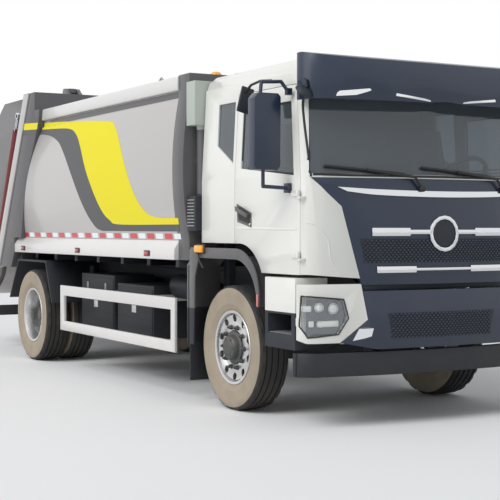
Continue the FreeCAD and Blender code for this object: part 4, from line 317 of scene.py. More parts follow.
class Kit:
    """Gathers the shapes of one piece."""

    def __init__(self):
        self.bm = bmesh.new()

    def to_mesh(self, name):
        """The shapes as a mesh."""
        mesh = bpy.data.meshes.new(name)
        self.bm.to_mesh(mesh)
        self.bm.free()
        return mesh

    def merge(self, other, stuff=0):
        """Takes in another bmesh, painted with one finish."""
        for face in other.faces:
            face.material_index = stuff
        mesh = bpy.data.meshes.new("part")
        other.to_mesh(mesh)
        self.bm.from_mesh(mesh)
        bpy.data.meshes.remove(mesh)
        other.free()

    def box(self, low, high, bevel, stuff=0):
        """A block with rounded edges between two corners."""
        part = bmesh.new()
        bmesh.ops.create_cube(part, size=1)
        size = [abs(b - a) for a, b in zip(low, high)]
        middle = [(a + b) / 2 for a, b in zip(low, high)]
        for vert in part.verts:
            vert.co = Vector([m + c * s for m, c, s in zip(middle, vert.co, size)])
        ease(part, min(bevel, min(size) * 0.45))
        self.merge(part, stuff)

    def block(self, side, along, across, up, bevel, stuff=0):
        """A box given by its spans. The span across is that of the left side."""
        self.box((along[0], side * across[0], up[0]), (along[1], side * across[1], up[1]), bevel, stuff)

    def prism(self, outline, axis, low, high, bevel, stuff=0):
        """An outline pushed along an axis. The outline gives the other two coordinates."""
        part = bmesh.new()
        others = [index for index in range(3) if index != axis]
        rings = []
        for level in (low, high):
            ring = []
            for spot in outline:
                place = [0.0, 0.0, 0.0]
                place[axis] = level
                place[others[0]], place[others[1]] = spot
                ring.append(part.verts.new(place))
            rings.append(ring)
        count = len(outline)
        part.faces.new(rings[0])
        part.faces.new(rings[1][::-1])
        for index in range(count):
            after = (index + 1) % count
            part.faces.new((rings[0][index], rings[0][after], rings[1][after], rings[1][index]))
        bmesh.ops.recalc_face_normals(part, faces=part.faces[:])
        if bevel:
            ease(part, bevel)
        self.merge(part, stuff)

    def turned(self, centre, axis, profile, steps, stuff=0, closed=True, sector=None):
        """A profile of (along, radius) turned about an axis. sector gives each stretch its finish."""
        way = Vector(axis).normalized()
        side = way.orthogonal().normalized()
        up = way.cross(side)
        middle = Vector(centre)
        rings = []
        for index in range(steps):
            angle = 2 * math.pi * index / steps
            out = side * math.cos(angle) + up * math.sin(angle)
            rings.append([self.bm.verts.new(middle + way * a + out * max(r, 1e-4)) for a, r in profile])
        last = len(profile) if closed else len(profile) - 1
        for index in range(steps):
            one = rings[index]
            two = rings[(index + 1) % steps]
            for spot in range(last):
                after = (spot + 1) % len(profile)
                patch = self.bm.faces.new((one[spot], one[after], two[after], two[spot]))
                patch.material_index = stuff if sector is None else sector[spot]
        return rings

    def bar(self, start, end, radius, sides, stuff=0, bevel=0.0):
        """A round bar with flat ends, its rim eased by bevel."""
        start, end = Vector(start), Vector(end)
        length = (end - start).length
        cut = min(bevel, radius * 0.5, length * 0.4)
        profile = [(0, 0), (0, radius - cut), (cut, radius), (length - cut, radius),
                   (length, radius - cut), (length, 0)]
        self.turned(start, end - start, profile, sides, stuff, closed=False)

    def tube(self, points, radius, sides=8, stuff=0):
        """A round tube through points, with closed ends."""
        points = [Vector(point) for point in points]
        rings = []
        normal = None
        for index, point in enumerate(points):
            ahead = points[min(index + 1, len(points) - 1)] - points[max(index - 1, 0)]
            ahead.normalize()
            if normal is None:
                normal = ahead.orthogonal().normalized()
            normal = (normal - ahead * normal.dot(ahead)).normalized()
            across = ahead.cross(normal)
            ring = []
            for step in range(sides):
                angle = 2 * math.pi * step / sides
                out = normal * math.cos(angle) + across * math.sin(angle)
                ring.append(self.bm.verts.new(point + out * radius))
            rings.append(ring)
        for one, two in zip(rings, rings[1:]):
            for step in range(sides):
                after = (step + 1) % sides
                self.bm.faces.new((one[step], one[after], two[after], two[step])).material_index = stuff
        self.bm.faces.new(rings[0][::-1]).material_index = stuff
        self.bm.faces.new(rings[-1]).material_index = stuff

    def sheet(self, rows, thick, jump=0.03):
        """A thin closed skin over a grid of points, but not over a missing point or a step."""
        part = bmesh.new()
        made = [[part.verts.new(point) if point is not None else None for point in row] for row in rows]
        for one, two in zip(made, made[1:]):
            for a, b, c, d in zip(one, one[1:], two[1:], two):
                if None in (a, b, c, d):
                    continue
                spans = [(a.co - b.co), (b.co - c.co), (c.co - d.co), (d.co - a.co)]
                if max(min(abs(span.x), abs(span.y)) for span in spans) > jump:
                    continue
                part.faces.new((a, b, c, d))
        loose = [vert for vert in part.verts if not vert.link_faces]
        bmesh.ops.delete(part, geom=loose, context="VERTS")
        bmesh.ops.recalc_face_normals(part, faces=part.faces[:])
        if part.faces:
            bmesh.ops.solidify(part, geom=part.faces[:], thickness=thick)
            bmesh.ops.recalc_face_normals(part, faces=part.faces[:])
        self.merge(part)

    def done(self, name, body, finishes, angle=35, replaces=()):
        """Turns the shapes into a finished piece that rides on a body."""
        bmesh.ops.remove_doubles(self.bm, verts=self.bm.verts[:], dist=WELD)
        bmesh.ops.dissolve_degenerate(self.bm, dist=1e-6, edges=self.bm.edges[:])
        bmesh.ops.recalc_face_normals(self.bm, faces=self.bm.faces[:])
        settle(put(name, self.to_mesh(name)), body, finishes, angle, replaces)


def put(name, data):
    """A new object in the scene for a mesh, lamp or camera."""
    thing = bpy.data.objects.new(name, data)
    bpy.context.scene.collection.objects.link(thing)
    return thing


def settle(piece, body, finishes, angle=35, replaces=()):
    """Shades, paints and mounts a finished piece."""
    mesh = piece.data
    for finish in finishes:
        mesh.materials.append(FINISH[finish])
    for face in mesh.polygons:
        face.use_smooth = True
    mesh.set_sharp_from_angle(angle=math.radians(angle))
    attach(piece, body)
    if replaces:
        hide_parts(*replaces)


def plain(piece):
    """Keeps what the modifiers make as the piece's own mesh."""
    graph = bpy.context.evaluated_depsgraph_get()
    mesh = bpy.data.meshes.new_from_object(piece.evaluated_get(graph))
    piece.modifiers.clear()
    piece.data = mesh
    return piece


def owner(node):
    """The body that a CAD node rides on."""
    return body_of(NODES[node])[0]


def dress(node, bevel, angle, finish=None):
    """A welded copy of a CAD node with eased edges, which stands for it."""
    mesh = NODES[node].data.copy()
    mesh.materials.clear()
    part = bmesh.new()
    part.from_mesh(mesh)
    bmesh.ops.remove_doubles(part, verts=part.verts[:], dist=CAD_WELD)
    bmesh.ops.dissolve_limit(part, angle_limit=FLAT_ANGLE, verts=part.verts[:], edges=part.edges[:])
    part.to_mesh(mesh)
    part.free()
    piece = put(node + "_skin", mesh)
    if bevel:
        rule = piece.modifiers.new("ease", "BEVEL")
        rule.width = bevel
        rule.segments = 2
        rule.limit_method = "ANGLE"
        rule.angle_limit = EDGE_ANGLE
        rule.use_clamp_overlap = True
        rule.miter_outer = "MITER_ARC"
        plain(piece)
        piece.data.materials.clear()
    settle(piece, owner(node), [finish or SLOT_OF[node]], angle, (node,))
    return piece


def banded(piece, levels):
    """Cuts a piece at each height and paints what lies below with that height's finish."""
    part = bmesh.new()
    part.from_mesh(piece.data)
    for index, (level, _) in enumerate(levels, 1):
        bmesh.ops.bisect_plane(part, geom=part.verts[:] + part.edges[:] + part.faces[:],
                               plane_co=(0, 0, level), plane_no=(0, 0, 1), dist=WELD)
        for face in part.faces:
            if face.calc_center_median().z < level:
                face.material_index = index
    part.to_mesh(piece.data)
    part.free()
    for _, finish in levels:
        piece.data.materials.append(FINISH[finish])
    piece.data.set_sharp_from_angle(angle=math.radians(32))


def cad_tree(*names):
    """A tree for finding points on CAD surfaces."""
    part = bmesh.new()
    for name in names:
        part.from_mesh(NODES[name].data)
    tree = BVHTree.FromBMesh(part)
    part.free()
    return tree


def side_point(tree, x, z, side, stand=0.0):
    """The outermost surface point at (x, z) on one side, or None."""
    spot = tree.ray_cast(Vector((x, side * 3.0, z)), Vector((0, -side, 0)))[0]
    return None if spot is None else Vector((x, spot.y + side * stand, z))


def front_point(tree, y, z, stand):
    """The foremost surface point at (y, z), or None."""
    spot = tree.ray_cast(Vector((6.0, y, z)), Vector((-1, 0, 0)))[0]
    return None if spot is None else Vector((spot.x + stand, y, z))


def on_side(spots, side):
    """Points (x, y, z) given for the left side, on either side."""
    return [(x, side * y, z) for x, y, z in spots]


def flipped(outline, side):
    """An outline (y, z) given for the left side, on either side."""
    return [(side * y, z) for y, z in outline]


def between(one, two, steps):
    """Evenly spaced pairs from one towards two, without two."""
    return [(one[0] + (two[0] - one[0]) * step / steps, one[1] + (two[1] - one[1]) * step / steps)
            for step in range(steps)]


def around(outline, steps):
    """Evenly spaced pairs round a closed outline, so many on each of its sides."""
    return [spot for one, two in zip(outline, outline[1:] + outline[:1])
            for spot in between(one, two, steps)]


def smooth_line(spots, count):
    """Points evenly spread along a smooth curve through spots."""
    spots = [Vector(spot) for spot in spots]
    spots = [2 * spots[0] - spots[1]] + spots + [2 * spots[-1] - spots[-2]]
    fine = []
    for a, b, c, d in zip(spots, spots[1:], spots[2:], spots[3:]):
        for step in range(CURVE_STEPS):
            t = step / CURVE_STEPS
            fine.append(0.5 * ((2 * b) + (c - a) * t + (2 * a - 5 * b + 4 * c - d) * t * t
                               + (3 * b - a - 3 * c + d) * t ** 3))
    fine.append(spots[-2])
    lengths = [0.0]
    for a, b in zip(fine, fine[1:]):
        lengths.append(lengths[-1] + (b - a).length)
    out = []
    spot = 0
    for index in range(count):
        goal = lengths[-1] * index / (count - 1)
        while spot < len(fine) - 2 and lengths[spot + 1] < goal:
            spot += 1
        part = (goal - lengths[spot]) / max(lengths[spot + 1] - lengths[spot], 1e-9)
        out.append(fine[spot].lerp(fine[spot + 1], min(max(part, 0), 1)))
    return out


# ---------------------------------------------------------------- repeats

def repeat_tree(name, ring):
    """A tree that sets copies of its geometry on a ring or along a line."""
    tree = bpy.data.node_groups.new(name, "GeometryNodeTree")
    face = tree.interface
    spread = ("Radius", "Float") if ring else ("Spacing", "Vector")
    for label, kind in (("Geometry", "Geometry"), ("Count", "Int"), spread, ("Centre", "Vector"),
                        ("Finish", "Material")):
        face.new_socket(label, in_out="INPUT", socket_type=f"NodeSocket{kind}")
    face.new_socket("Geometry", in_out="OUTPUT", socket_type="NodeSocketGeometry")
    entry = tree.nodes.new("NodeGroupInput")
    leave = tree.nodes.new("NodeGroupOutput")
    lay = tree.nodes.new("GeometryNodeTransform")
    if ring:
        path = tree.nodes.new("GeometryNodeMeshCircle")
        tree.links.new(entry.outputs["Count"], path.inputs["Vertices"])
        tree.links.new(entry.outputs["Radius"], path.inputs["Radius"])
        fill(lay, {"Rotation": (math.pi / 2, 0, 0)})
    else:
        path = tree.nodes.new("GeometryNodeMeshLine")
        tree.links.new(entry.outputs["Count"], path.inputs["Count"])
        tree.links.new(entry.outputs["Spacing"], path.inputs["Offset"])
    tree.links.new(path.outputs[0], lay.inputs["Geometry"])
    tree.links.new(entry.outputs["Centre"], lay.inputs["Translation"])
    copies = tree.nodes.new("GeometryNodeInstanceOnPoints")
    tree.links.new(lay.outputs[0], copies.inputs["Points"])
    tree.links.new(entry.outputs["Geometry"], copies.inputs["Instance"])
    solid = tree.nodes.new("GeometryNodeRealizeInstances")
    tree.links.new(copies.outputs[0], solid.inputs[0])
    paint = tree.nodes.new("GeometryNodeSetMaterial")
    tree.links.new(solid.outputs[0], paint.inputs["Geometry"])
    tree.links.new(entry.outputs["Finish"], paint.inputs["Material"])
    tree.links.new(paint.outputs[0], leave.inputs[0])
    return tree


def repeat(kit, name, body, finish, centre, count, radius=None, spacing=None):
    label = "ring_of_parts" if radius is not None else "row_of_parts"
    tree = bpy.data.node_groups.get(label) or repeat_tree(label, radius is not None)
    bmesh.ops.recalc_face_normals(kit.bm, faces=kit.bm.faces[:])
    piece = put(name, kit.to_mesh(name))
    rule = piece.modifiers.new("repeat", "NODES")
    rule.node_group = tree
    values = {"Count": count, "Centre": centre, "Finish": FINISH[finish], "Radius": radius,
              "Spacing": spacing}
    for socket in tree.interface.items_tree:
        if socket.item_type == "SOCKET" and socket.in_out == "INPUT" and socket.name in values:
            rule[socket.identifier] = values[socket.name]
    plain(piece)
    piece.data.materials.clear()
    settle(piece, body, [finish])


# ---------------------------------------------------------------- stage

FLOOR_REACH = 60.0
SKY_LIGHT = 0.46                    # the world's light on the truck; to the camera it is white
KEY_WAY = (-0.22, 0.66, -0.72)
KEY_SPREAD = 0.6                    # radians, for soft shadows
FILL_PLACE = (3, -14, 6)
FILL_AIM = (0, 0, 1.4)
FILL_POWER = 300
FILL_SIZE = 9
SENSOR = 36                         # mm
VIEW_END = 300


def aim(thing, way):
    """Turns a lamp or camera so that it looks along way."""
    thing.rotation_euler = Vector(way).to_track_quat("-Z", "Y").to_euler()


def lay_floor():
    """A wide pale floor, which isn't part of the truck."""
    far = FLOOR_REACH
    mesh = bpy.data.meshes.new("floor")
    mesh.from_pydata([(-far, -far, 0), (far, -far, 0), (far, far, 0), (-far, far, 0)],
                     [], [(0, 1, 2, 3)])
    pale = bpy.data.materials.new("floor_pale")
    pale.use_nodes = True
    shader = pale.node_tree.nodes["Principled BSDF"]
    fill(shader, {"Base Color": (0.86, 0.86, 0.86, 1), "Roughness": 0.9})
    mesh.materials.append(pale)
    floor = put("floor", mesh)


def light_world():
    """Soft light from all round, which the camera, reflections and glass see as plain white."""
    world = bpy.data.worlds.new("studio")
    bpy.context.scene.world = world
    world.use_nodes = True
    tree = world.node_tree
    tree.nodes.clear()
    path = tree.nodes.new("ShaderNodeLightPath")
    bounced = maths(tree, "MAXIMUM", path.outputs["Is Glossy Ray"],
                    path.outputs["Is Transmission Ray"])
    mix = tree.nodes.new("ShaderNodeMixShader")
    tree.links.new(maths(tree, "MAXIMUM", path.outputs["Is Camera Ray"], bounced), mix.inputs[0])
    lights = (((0.93, 0.96, 1.0, 1), SKY_LIGHT), ((1, 1, 1, 1), 1.0))
    for index, (colour, strength) in enumerate(lights, 1):
        glow = tree.nodes.new("ShaderNodeBackground")
        fill(glow, {"Color": colour, "Strength": strength})
        tree.links.new(glow.outputs[0], mix.inputs[index])
    out = tree.nodes.new("ShaderNodeOutputWorld")
    tree.links.new(mix.outputs[0], out.inputs[0])


def hang_lamps(strength):
    """A soft key lamp from above and the right, and a fill lamp further out on that side."""
    key = bpy.data.lights.new("key", "SUN")
    key.energy = strength
    key.angle = KEY_SPREAD
    aim(put("key", key), KEY_WAY)
    soft = bpy.data.lights.new("fill", "AREA")
    soft.energy = FILL_POWER
    soft.size = FILL_SIZE
    lamp = put("fill", soft)
    lamp.location = FILL_PLACE
    aim(lamp, Vector(FILL_AIM) - lamp.location)


def set_camera(sizes):
    """The camera at the photograph's place and angle."""
    eye = bpy.data.cameras.new("camera")
    eye.lens = sizes.lens
    eye.sensor_width = SENSOR
    eye.shift_y = sizes.shift
    eye.clip_end = VIEW_END
    camera = put("camera", eye)
    camera.location = sizes.place
    aim(camera, (-math.cos(sizes.turn), math.sin(sizes.turn), 0))
    bpy.context.scene.camera = camera


class TRUCK_OT_stage(bpy.types.Operator):
    """Sets the floor, the soft light and the camera at the photograph's angle"""
    bl_idname = "truck.stage"
    bl_label = "Stage"

    def execute(self, context):
        lay_floor()
        light_world()
        hang_lamps(context.scene.truck_stage.sun)
        set_camera(context.scene.truck_stage)
        context.scene.view_settings.view_transform = "Standard"
        return {"FINISHED"}


# ---------------------------------------------------------------- finishes

# How far edges are eased, the smoothing angle, and the nodes.
EASED = (
    (0.006, 32, ("cab_shell", "door_right", "door_left")),
    (0.005, 32, ("sun_visor", "front_bumper", "headlamp_blocks", "grille_panel", "cab_steps")),
    (0.003, 30, ("grille_bars",)),
    (0.005, 30, ("body_sides", "body_rear_frame", "body_front_frame", "body_side_rails", "body_roof",
                 "hopper_floor", "portal_flange", "tailgate_sides", "tailgate_cover")),
    (0.004, 32, ("air_intake",)),
    (0.005, 32, ("front_fenders",)),
    (0.004, 32, ("side_guards", "side_boxes", "rear_fenders", "under_run_bars", "bin_lifter",
                 "chassis_frame", "tail_lamps", "body_floor")),
    (0.012, 50, ("mirror_right", "mirror_left")),
    (0.0, 48, ("lift_barrel_right", "lift_barrel_left", "lift_rod_right", "lift_rod_left", "tie_rod",
               "propshaft", "rear_axle", "cab_interior", "seats")),
)
# Nodes whose paint isn't the one that their slot names.
REPAINTED = {"portal_flange": "post_grey", "tailgate_sides": "post_grey", "tailgate_cover": "post_grey",
             "body_floor": "chassis_black"}
# Nodes with another finish below a height.
LEVELS = {
    "cab_steps": ((0.852, "front_rough"),),
    "portal_flange": ((2.985, "body_grey"),),
    "air_intake": ((2.30, "post_grey"), (1.76, "front_rough")),
    "front_fenders": ((0.80, "chassis_black"),),
}


class TRUCK_OT_finishes(bpy.types.Operator):
    """Paints every CAD node and eases the edges of those that show"""
    bl_idname = "truck.finishes"
    bl_label = "Finishes and eased edges"

    def execute(self, context):
        make_finishes()
        for name, node in NODES.items():
            node.data.materials.clear()
            node.data.materials.append(FINISH[SLOT_OF[name]])
        for bevel, angle, names in EASED:
            for name in names:
                piece = dress(name, bevel, angle, REPAINTED.get(name))
                if name in LEVELS:
                    banded(piece, LEVELS[name])
        return {"FINISHED"}


# ---------------------------------------------------------------- tyres and wheels

# (across, radius) from a tyre's bead to its shoulder.
TYRE_SIDE = ((-0.106, 0.300), (-0.114, 0.309), (-0.122, 0.322), (-0.131, 0.350), (-0.1335, 0.354),
             (-0.1335, 0.360), (-0.1360, 0.385), (-0.1372, 0.410), (-0.1370, 0.436), (-0.1385, 0.441),
             (-0.1375, 0.447), (-0.1350, 0.463), (-0.1300, 0.481), (-0.1235, 0.494))
TREAD_EDGE = (0.1150, 0.5005)
TREAD_RADIUS = 0.504
GROOVES = (-0.078, -0.027, 0.027, 0.078)
DUSTY_RADIUS = 0.480                # the sidewall's dust ends here
BLOCK_CYCLE = 6                     # divisions from one shoulder block to the next
TYRES = (("front_tyre", FRONT, (FRONT_TRACK,)), ("rear_tyres", REAR, (REAR_OUTER, REAR_INNER)))


def tyre_profile(groove):
    """The (across, radius) loop of a tyre, and which stretches belong to the sidewalls."""
    across, radius = TREAD_EDGE
    tread = [(-across, radius)]
    for place in GROOVES:
        tread += [(place - 0.0075, 0.5035), (place - 0.0055, TREAD_RADIUS - groove),
                  (place + 0.0055, TREAD_RADIUS - groove), (place + 0.0075, 0.5035)]
    tread.append(TREAD_EDGE)
    loop = [*TYRE_SIDE, *tread, *((-across, radius) for across, radius in reversed(TYRE_SIDE))]
    sector = [int((radius + after) / 2 < DUSTY_RADIUS and abs(across) > 0.1)
              for (across, radius), (_, after) in zip(loop, loop[1:] + loop[:1])]
    return loop, sector


def tread_cut(across, radius, phase):
    """How far a point lies below its shoulder block or rib at this phase of the cycle."""
    edge = abs(across)
    if edge > 0.1 and radius > 0.49 and phase in (0, 1):
        return 0.008
    if 0.02 < edge < 0.084 and radius > 0.5 and (phase + 3 * (across > 0)) % BLOCK_CYCLE == 2:
        return 0.004
    return 0.0


class TRUCK_OT_tyres(bpy.types.Operator):
    """Six tyres with ribbed tread, shoulder blocks and dusty sidewalls"""
    bl_idname = "truck.tyres"
    bl_label = "Tyres"

    def execute(self, context):
        sizes = context.scene.truck_wheels
        loop, sector = tyre_profile(sizes.groove)
        for side, label in SIDES:
            for stem, x, places in TYRES:
                node = f"{stem}_{label}"
                kit = Kit()
                for place in places:
                    centre = (x, side * place, AXLE_HEIGHT)
                    rings = kit.turned(centre, (0, 1, 0), loop, sizes.steps, sector=sector)
                    for index, ring in enumerate(rings):
                        for vert, (across, radius) in zip(ring, loop):
                            cut = tread_cut(across, radius, index % BLOCK_CYCLE)
                            if cut:
                                out = Vector((vert.co.x - x, 0, vert.co.z - AXLE_HEIGHT)).normalized()
                                vert.co -= out * cut
                kit.done(f"{node}_tread", owner(node), ["tyre_rubber", "sidewall"],
                         28, (node,))
        return {"FINISHED"}


RIM_HALF = 0.118
RIM_STEPS = 96
HOLE_CIRCLE = 0.236
HOLE_RADIUS = 0.030
FRONT_DISH = 0.092
REAR_DISH = 0.159
CUTTER_WELD = 2e-4                  # closes the ends of the bars that cut the holes
HUB_BOLTS = 6
HUB_BOLT_CIRCLE = 0.074
# The washer, nut and stud: start, end, radius, corners and bevel.
NUT = ((0, 0.004, 0.021, 20, 0.001), (0.003, 0.026, 0.0165, 6, 0.002), (0.02, 0.040, 0.010, 12, 0.002))
# (along, radius) of the hubs, from the wheel's disc outwards.
FRONT_HUB = ((-0.16, 0.0), (-0.16, 0.13), (-0.03, 0.15), (-0.014, 0.15), (-0.0135, 0.137),
             (0.010, 0.136), (0.016, 0.128), (0.020, 0.104), (0.052, 0.098), (0.060, 0.092),
             (0.064, 0.060), (0.066, 0.058), (0.068, 0.040), (0.068, 0.0))
REAR_HUB = ((-0.13, 0.0), (-0.13, 0.16), (-0.03, 0.165), (-0.026, 0.137), (0.012, 0.136),
            (0.020, 0.128), (0.026, 0.108), (0.140, 0.100), (0.160, 0.096), (0.172, 0.086),
            (0.176, 0.060), (0.186, 0.056), (0.190, 0.040), (0.190, 0.0))
# Node, axle, each wheel's (place, way of the disc, dish, pierced), and the hub's place, its bolts'
# reach and its profile.
WHEELS = (
    ("front_wheel", FRONT, ((FRONT_TRACK, 1, FRONT_DISH, True),),
     FRONT_TRACK + FRONT_DISH, 0.058, FRONT_HUB),
    ("rear_wheels", REAR, ((REAR_OUTER, -1, REAR_DISH, True), (REAR_INNER, 1, REAR_DISH, False)),
     0.942, 0.170, REAR_HUB),
)


def add_wheel(kit, x, middle, way, dish, holes):
    """A pressed wheel. way is the side that its disc lies towards, and dish how far out."""
    half = RIM_HALF
    root = min(half, dish) - 0.018
    flat = dish - 0.012
    barrel = [(-half, 0.297), (-half + 0.004, 0.302), (-half + 0.009, 0.300), (-half + 0.012, 0.288),
              (-0.03, 0.287), (0.03, 0.287), (half - 0.012, 0.288), (half - 0.009, 0.300),
              (half - 0.004, 0.302), (half, 0.297), (half - 0.004, 0.278), (half - 0.02, 0.272),
              (0.0, 0.262), (-0.03, 0.262), (-half + 0.02, 0.272), (-half + 0.004, 0.278)]
    disc = [(root - 0.03, 0.274), (root - 0.008, 0.270), (root + 0.008, 0.258), (flat - 0.006, 0.212),
            (flat, 0.200), (flat, 0.141), (dish, 0.141), (dish, 0.203), (dish - 0.004, 0.214),
            (root + 0.022, 0.262), (root + 0.004, 0.274)]
    kit.turned((x, middle, AXLE_HEIGHT), (0, way, 0), barrel, RIM_STEPS)
    shell = Kit()
    shell.turned((x, middle, AXLE_HEIGHT), (0, way, 0), disc, RIM_STEPS)
    if not holes:
        kit.bm.from_mesh(shell.to_mesh("disc"))
        return
    cutter = Kit()
    for index in range(holes):
        angle = 2 * math.pi * index / holes + math.radians(18)
        a = x + HOLE_CIRCLE * math.cos(angle)
        b = AXLE_HEIGHT + HOLE_CIRCLE * math.sin(angle)
        cutter.bar((a, middle - 0.2, b), (a, middle + 0.2, b), HOLE_RADIUS, 24)
    kit.bm.from_mesh(carve(shell, cutter))


def carve(shell, cutter):
    """The shell with the cutter's bars taken out of it, as a mesh."""
    made = []
    for kit, gap in ((shell, WELD), (cutter, CUTTER_WELD)):
        bmesh.ops.remove_doubles(kit.bm, verts=kit.bm.verts[:], dist=gap)
        bmesh.ops.recalc_face_normals(kit.bm, faces=kit.bm.faces[:])
        made.append(put("carve", kit.to_mesh("carve")))
    rule = made[0].modifiers.new("cut", "BOOLEAN")
    rule.operation = "DIFFERENCE"
    rule.solver = "EXACT"
    rule.object = made[1]
    mesh = plain(made[0]).data
    for piece in made:
        bpy.data.objects.remove(piece)
    return mesh


class TRUCK_OT_wheels(bpy.types.Operator):
    """Pressed wheels with hand holes, hubs and nuts"""
    bl_idname = "truck.wheels"
    bl_label = "Wheels"

    def execute(self, context):
        sizes = context.scene.truck_wheels
        for side, label in SIDES:
            for stem, x, pressings, face, deep, profile in WHEELS:
                node = f"{stem}_{label}"
                kit = Kit()
                for place, way, dish, pierced in pressings:
                    add_wheel(kit, x, side * place, side * way, dish, sizes.holes if pierced else 0)
                kit.done(f"{node}_rim", owner(node), ["wheel_silver"], 34, (node,))
                hub = Kit()
                hub.turned((x, side * face, AXLE_HEIGHT), (0, side, 0), profile, 64, 0, closed=False)
                for index in range(HUB_BOLTS):
                    angle = 2 * math.pi * index / HUB_BOLTS
                    a = x + HUB_BOLT_CIRCLE * math.cos(angle)
                    b = AXLE_HEIGHT + HUB_BOLT_CIRCLE * math.sin(angle)
                    hub.bar((a, side * (face + deep), b), (a, side * (face + deep + 0.008), b),
                            0.008, 6)
                hub.done(f"{node}_hub", owner(node), ["hub_dark"], 34)
                nut = Kit()
                for start, end, radius, corners, bevel in NUT:
                    nut.bar((0, side * start, 0), (0, side * end, 0), radius, corners, 0, bevel)
                repeat(nut, f"{node}_nuts", owner(node), "hub_dark",
                       (x, side * face, AXLE_HEIGHT), sizes.nuts, radius=sizes.nut_circle)
        return {"FINISHED"}


# ---------------------------------------------------------------- load body

# The bands' edges on the body's side, as (x, z).
YELLOW_TOP = ((-1.895, 2.669), (-1.2, 2.633), (-0.622, 2.602), (0.595, 2.514), (0.82, 2.44),
              (0.99, 2.258), (1.295, 1.833), (1.52, 1.636), (1.78, 1.568), (2.241, 1.558))
YELLOW_LOW = ((-1.895, 2.595), (-1.2, 2.560), (-0.473, 2.517), (-0.212, 2.442), (-0.043, 2.298),
              (0.176, 2.015), (0.493, 1.670), (0.696, 1.551), (0.942, 1.507), (2.241, 1.503))
GREY_LOW = ((-1.930, 2.534), (-1.184, 2.501), (-0.774, 2.415), (-0.532, 2.274), (-0.269, 2.032),
            (0.040, 1.697), (0.230, 1.534), (0.415, 1.454), (0.800, 1.445), (2.241, 1.443))
PAINT_GAP = 0.0008                  # between a band and the panel under it
BAND_STEPS = 220
# The eave sheet's run along the body, its steps and its low and high edges: a dark sheet of painted
# shade under the top rail's overhang.
EAVE_START, EAVE_LENGTH, EAVE_STEPS = -1.10, 3.28, 80
EAVE_LOW, EAVE_TOP = 2.600, 2.652


def band_edge(spots):
    """Points along a band's edge."""
    return smooth_line([(x, 0, z) for x, z in spots], BAND_STEPS)


class TRUCK_OT_bands(bpy.types.Operator):
    """The yellow and grey bands that sweep along the body's sides, and a dark sheet of painted shade
    under the top rail's eave
    """
    bl_idname = "truck.bands"
    bl_label = "Coloured bands"

    def execute(self, context):
        skin = context.scene.truck_trim.skin
        stand = skin + PAINT_GAP
        tree = cad_tree("body_sides", "body_rear_frame", "body_front_frame")
        for side, label in SIDES:
            for name, top, low in (("yellow", YELLOW_TOP, YELLOW_LOW), ("grey", YELLOW_LOW, GREY_LOW)):
                rows = []
                for one, two in zip(band_edge(top), band_edge(low)):
                    spots = [one.lerp(two, step / 8) for step in range(9)]
                    rows.append([side_point(tree, spot.x, spot.z, side, stand) for spot in spots])
                kit = Kit()
                kit.sheet(rows, skin, jump=0.02)
                kit.done(f"band_{name}_{label}", "chassis", [f"band_{name}"], 30)
            # A dark sheet in post grey just under the top rail: painted shade where the rail's overhang
            # shades the panel, not a band of paint.
            rows = []
            edge = band_edge(YELLOW_TOP)
            for step in range(EAVE_STEPS + 1):
                x = EAVE_START + EAVE_LENGTH * step / EAVE_STEPS
                near = min(edge, key=lambda spot: abs(spot.x - x))
                low = max(EAVE_LOW, near.z + 0.004)
                rows.append([side_point(tree, x, z, side, stand)
                             for z in (low, (low + EAVE_TOP) / 2, EAVE_TOP)])
            kit = Kit()
            kit.sheet(rows, skin, jump=0.02)
            kit.done(f"eave_shade_{label}", "chassis", ["post_grey"], 30)
        return {"FINISHED"}


TAPE_PITCH = 0.38
TAPE_COUNT = 11
TAPE_STARTS = (("reflect_red", -1.90), ("reflect_white", -1.71))
TAPE_RUNS = (0, 0.05, 0.10, 0.15)
TAPE_LEVELS = (1.376, 1.400, 1.424)
MARKERS = (-1.80, -0.10, 1.62)
ROOF_EYE = ((1.71, 2.75), (1.715, 2.79), (1.755, 2.812), (1.795, 2.79), (1.80, 2.75))
# Lowest and highest point of each tail lens, and its finish.
TAIL_LENSES = ((1.345, 1.425, 0), (1.432, 1.505, 1), (1.512, 1.590, 2), (1.597, 1.675, 0))
WALL_RIBS = (-0.9, -0.45, 0.0, 0.45, 0.9)


class TRUCK_OT_body_trim(bpy.types.Operator):
    """Reflective tape, side markers, roof eyes, tail lenses and the front wall's ribs"""
    bl_idname = "truck.body_trim"
    bl_label = "Body trim"

    def execute(self, context):
        tree = cad_tree("body_side_rails", "body_sides", "body_rear_frame", "body_front_frame",
                        "body_roof")
        for side, label in SIDES:
            for finish, start in TAPE_STARTS:
                kit = Kit()
                for index in range(TAPE_COUNT):
                    x = start + TAPE_PITCH * index
                    rows = [[side_point(tree, x + run, z, side, 0.002) for z in TAPE_LEVELS]
                            for run in TAPE_RUNS]
                    kit.sheet(rows, 0.0012)
                kit.done(f"{finish}_{label}", "chassis", [finish])
            kit = Kit()
            for x in MARKERS:
                y = abs(side_point(tree, x, 1.245, side).y)
                kit.block(side, (x - 0.060, x + 0.060), (y - 0.002, y + 0.010), (1.222, 1.272),
                          0.004, 1)
                kit.block(side, (x - 0.045, x + 0.045), (y + 0.004, y + 0.015), (1.232, 1.262), 0.004)
            kit.done(f"side_markers_{label}", "chassis", ["tail_red", "rubber_trim"])
            kit = Kit()
            kit.tube([(x, side * 1.14, z) for x, z in ROOF_EYE], 0.010, 10)
            kit.done(f"roof_eye_{label}", "chassis", ["machine_steel"], 60)
            lens = Kit()
            for low, high, stuff in TAIL_LENSES:
                lens.block(side, (-4.086, -4.070), (1.136, 1.208), (low, high), 0.006, stuff)
            lens.done(f"tail_lenses_{label}", "tailgate", ["tail_red", "amber", "reflect_white"])
        kit = Kit()
        for y in WALL_RIBS:
            kit.box((2.388, y - 0.025, 1.32), (2.402, y + 0.025, 2.70), 0.006)
        kit.box((2.388, -1.12, 2.02), (2.400, 1.12, 2.06), 0.005)
        kit.done("front_wall_ribs", "chassis", ["post_grey"])
        return {"FINISHED"}


# ---------------------------------------------------------------- cab

